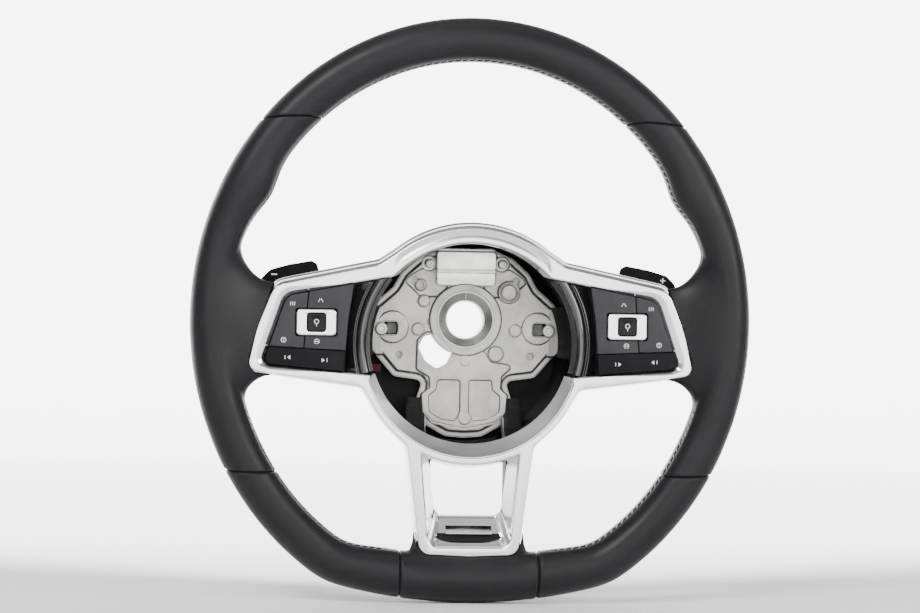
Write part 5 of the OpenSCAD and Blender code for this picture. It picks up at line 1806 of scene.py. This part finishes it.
    def button_sign(self) -> bpy.types.Object:
        """Pale ring with a short stem on the centre button."""
        x, z, f = self.trim.toggle_x, self.toggle_z, self.key_front + 1.2
        ring = np.concatenate([arc((0, 0.5), 1.6, -80, 260, 26), arc((0, 0.5), 1.05, 260, -80, 26)])
        stem = [(-0.25, -2.6), (0.25, -2.6), (0.25, -1.0), (-0.25, -1.0)]
        shapes = [self.at(x, z, ring), self.at(x, z, stem)]
        return self.sign("centre_button_sign", shapes, f, self.node("centre_button"))


# Paddles


@dataclass
class Paddle:
    """Shift paddle of one side, with its bracket and switch."""

    side: Side
    trim: TrimPlan
    finishes: Finishes
    nodes: dict[str, bpy.types.Object]
    front: float = 29.6
    sign_z: float = 27.7

    def sign(self) -> bpy.types.Object:
        """Pale minus on the left paddle and plus on the right one, 0.06 mm proud of its face."""
        place = np.array([self.side.value * (self.trim.pad_tip + 1.4 - 9.0), self.sign_z])
        shape = np.array([(-1.9, -0.45), (1.9, -0.45), (1.9, 0.45), (-1.9, 0.45)])
        if self.side is Side.RIGHT:
            shape = np.array([(-1.7, -0.4), (-0.4, -0.4), (-0.4, -1.7), (0.4, -1.7), (0.4, -0.4), (1.7, -0.4),
                              (1.7, 0.4), (0.4, 0.4), (0.4, 1.7), (-0.4, 1.7), (-0.4, 0.4), (-1.7, 0.4)])
        profile = [(0.0, self.front - 0.2), (0.0, self.front + 0.06)]
        piece = plate(f"{self.side.word}_paddle_sign", shape + place, profile)
        self.finishes.wear(piece, SIGN)
        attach(piece, f"{self.side.word}_paddle")
        return piece

    def build(self) -> list[bpy.types.Object]:
        """Builds and dresses the paddle and its bracket."""
        made = []
        for part, name, width, finish, slot in (
                ("paddle", "paddle_blade", 1.1, PADDLE, "gloss_black"),
                ("paddle_bracket", "paddle_hinge_bracket", 0.5, PLASTIC, "black_plastic")):
            node = f"{self.side.word}_{part}"
            piece = softened(f"{self.side.word}_{name}", self.nodes[node], width)
            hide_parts(node)
            self.finishes.wear(piece, finish)
            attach(piece, f"{self.side.word}_paddle" if part == "paddle" else WHEEL)
            made.append(piece)
        made.append(self.sign())
        return made


# Nodes that keep their CAD mesh


@dataclass
class Carried:
    """Gives each CAD node that stays its finish."""

    finishes: Finishes
    nodes: dict[str, bpy.types.Object]

    def build(self) -> None:
        """Dresses the nodes."""
        plan = {
            "armature": CAST, "rim_core": CAST, "rim_foam": FOAM, "hub_insert": STEEL, "badge_plate": CHROME,
            "clip_rail": PLASTIC, "wire_connector": RED, "rear_cover": PLASTIC, "rear_cover_screws": SCREW,
        }
        for side in Side:
            w = side.word
            plan.update({f"{w}_circuit_board": BOARD, f"{w}_dome_mat": MAT, f"{w}_paddle_pin": STEEL,
                         f"{w}_paddle_spring": STEEL, f"{w}_paddle_switch": PLASTIC})
        for name, finish in plan.items():
            self.finishes.wear(self.nodes[name], finish)
            LOG.info("node %s wears %s", name, finish.name)


# Studio


@dataclass
class Studio:
    """Pale sweep, soft lights and the camera."""

    floor: float
    azimuth: float = -5.009
    elevation: float = -0.364
    away: float = 1943.1
    aim: tuple[float, float, float] = (-7.154, -60.0, 8.490)
    tilt: float = 0.01549
    focal_pixels: float = 2983.0
    width_pixels: float = 920.0
    base_glow: float = 0.06
    back_glow: float = 5.0
    front_glow: float = 3.1

    def room(self) -> None:
        """Pale round floor that curves up into a wall all round, with soft glowing fields.

        The wall glows most behind the wheel, less in a soft field around the camera, and a little elsewhere;
        the floor glows only toward the wall.
        """
        cove = np.radians(np.linspace(0.0, 90.0, 14))
        r = np.concatenate([np.linspace(0.0002, 1.9, 20), 1.9 + 1.0 * np.sin(cove)[1:], np.full(10, 2.9)])
        z = np.concatenate([np.zeros(20), 1.0 - np.cos(cove)[1:], np.linspace(1.2, 3.2, 10)])
        t = np.linspace(0.0, 2.0 * np.pi, 60, endpoint=False)
        x = r[:, None] * np.sin(t)[None, :]
        y = r[:, None] * np.cos(t)[None, :]
        zz = np.repeat(z[:, None], len(t), axis=1) + self.floor
        verts = np.stack([x, y, zz], axis=-1).reshape(-1, 3)
        faces = grid_faces(len(r), len(t), False, True).tolist()
        mesh = bpy.data.meshes.new("studio_room")
        mesh.from_pydata(verts.tolist(), [], faces)
        mesh.polygons.foreach_set("use_smooth", np.ones(len(mesh.polygons), dtype=bool))
        mesh.update()
        obj = bpy.data.objects.new("studio_room", mesh)
        bpy.context.scene.collection.objects.link(obj)
        ang = np.degrees(np.arctan2(x, y))
        lift = zz - self.floor
        far = smooth((np.hypot(x, y) - 0.9) / 1.6)
        behind = smooth((52.0 - np.abs(ang - self.azimuth)) / 22.0) * smooth((1.8 - lift) / 0.8)
        aside = np.abs((ang - 180.0 - self.azimuth + 540.0) % 360.0 - 180.0)
        high = np.degrees(np.arctan2(lift + self.floor, np.hypot(x, y)))
        front = smooth((36.0 - np.hypot(aside, high)) / 24.0)
        beyond = smooth((np.hypot(x, y) - 1.9) / 0.3)
        glow = far * (self.base_glow + self.back_glow * behind) + self.front_glow * front * beyond
        glow = np.maximum(glow, 0.62 * self.back_glow * smooth((y + 0.3) / 0.9) * smooth((70.0 - np.abs(ang)) / 30.0)
                          * (lift < 0.4))
        mark = mesh.attributes.new("glow", "FLOAT", "POINT")
        mark.data.foreach_set("value", glow.ravel().astype(np.float32))
        pale = np.maximum(smooth((80.0 - np.abs(ang)) / 25.0), smooth((2.2 - np.hypot(x, y)) / 0.4))
        mark = mesh.attributes.new("tone", "FLOAT", "POINT")
        mark.data.foreach_set("value", pale.ravel().astype(np.float32))
        mat = bpy.data.materials.new("pale paper")
        mat.use_nodes = True
        nt = mat.node_tree
        shader = nt.nodes["Principled BSDF"]
        shader.inputs["Roughness"].default_value = 0.9
        tone = nt.nodes.new("ShaderNodeAttribute")
        tone.attribute_name = "tone"
        paper = nt.nodes.new("ShaderNodeMix")
        paper.data_type = "RGBA"
        paper.inputs[6].default_value = (0.26, 0.26, 0.26, 1.0)
        paper.inputs[7].default_value = (0.86, 0.86, 0.86, 1.0)
        nt.links.new(tone.outputs["Fac"], paper.inputs[0])
        nt.links.new(paper.outputs[2], shader.inputs["Base Color"])
        shader.inputs["Emission Color"].default_value = (1.0, 1.0, 1.0, 1.0)
        light = nt.nodes.new("ShaderNodeAttribute")
        light.attribute_name = "glow"
        nt.links.new(light.outputs["Fac"], shader.inputs["Emission Strength"])
        noise = nt.nodes.new("ShaderNodeTexNoise")
        noise.inputs["Scale"].default_value = 60.0
        bump = nt.nodes.new("ShaderNodeBump")
        bump.inputs["Strength"].default_value = 0.02
        nt.links.new(noise.outputs["Fac"], bump.inputs["Height"])
        nt.links.new(bump.outputs["Normal"], shader.inputs["Normal"])
        mesh.materials.append(mat)
        obj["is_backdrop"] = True

    def lamp(self, name: str, place: Sequence[float], aim: Sequence[float], size: tuple[float, float],
             power: float) -> None:
        """Rectangular soft light at a place, facing a point."""
        data = bpy.data.lights.new(name, "AREA")
        data.shape = "RECTANGLE"
        data.size, data.size_y = size
        data.energy = power
        obj = bpy.data.objects.new(name, data)
        obj.location = place
        way = Vector(aim) - Vector(place)
        obj.rotation_euler = way.to_track_quat("-Z", "Y").to_euler()
        bpy.context.scene.collection.objects.link(obj)

    def build(self) -> None:
        """Builds the room, the lights and the camera."""
        self.room()
        world = bpy.data.worlds.new("studio")
        world.use_nodes = True
        world.node_tree.nodes["Background"].inputs["Color"].default_value = (1.0, 1.0, 1.0, 1.0)
        world.node_tree.nodes["Background"].inputs["Strength"].default_value = 0.3
        bpy.context.scene.world = world
        self.lamp("key_light", (-0.9, -1.6, 1.5), (0.0, 0.0, 0.0), (0.9, 0.7), 42.0)
        self.lamp("fill_light", (1.4, -1.5, 0.6), (0.0, 0.0, 0.0), (0.9, 0.9), 26.0)
        self.lamp("top_light", (0.0, -0.2, 1.9), (0.0, 0.0, 0.0), (1.8, 1.3), 8.0)
        az, el = math.radians(self.azimuth), math.radians(self.elevation)
        aim = Vector(self.aim) / MM
        place = aim + Vector((math.sin(az) * math.cos(el), -math.cos(az) * math.cos(el),
                              math.sin(el))) * (self.away / MM)
        ahead = (aim - place).normalized()
        right = ahead.cross(Vector((0.0, 0.0, 1.0))).normalized()
        up = right.cross(ahead)
        right = (right * math.sqrt(1.0 - self.tilt ** 2) + up * self.tilt).normalized()
        up = right.cross(ahead)
        data = bpy.data.cameras.new("studio_camera")
        data.sensor_width = 36.0
        data.lens = self.focal_pixels / self.width_pixels * 36.0
        data.clip_start = 0.05
        camera = bpy.data.objects.new("studio_camera", data)
        turn = Matrix((right, up, -ahead)).transposed().to_4x4()
        camera.matrix_world = Matrix.Translation(place) @ turn
        bpy.context.scene.collection.objects.link(camera)
        bpy.context.scene.camera = camera


def plain_box(bounds: Iterable[Iterable[float]]) -> list[list[float]]:
    """A box's corners as plain lists of numbers."""
    return [[float(v) for v in corner_] for corner_ in bounds]


def main() -> None:
    """Builds the whole wheel in order and reports each piece."""
    logging.basicConfig(level=logging.INFO, format="%(message)s")
    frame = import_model()
    cad = plain_box(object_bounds())
    nodes = {name: bpy.data.objects[name] for name in frame["nodes"]}
    finishes = Finishes()
    rim = Rim()
    trim = TrimPlan(rim)
    made: list[bpy.types.Object] = []
    made += LeatherRim(rim, trim, finishes).build()
    made += SpokeTrim(trim, finishes).build()
    made += CastHub(finishes).build()
    made += HubFittings(finishes).build()
    for side in Side:
        made += SwitchPad(side, trim, finishes, nodes).build()
        made += Paddle(side, trim, finishes, nodes).build()
    Carried(finishes, nodes).build()
    Studio(floor=cad[0][2]).build()
    for piece in made:
        LOG.info("piece %s: %d faces", piece.name, len(piece.data.polygons))


if __name__ == "__main__":
    main()
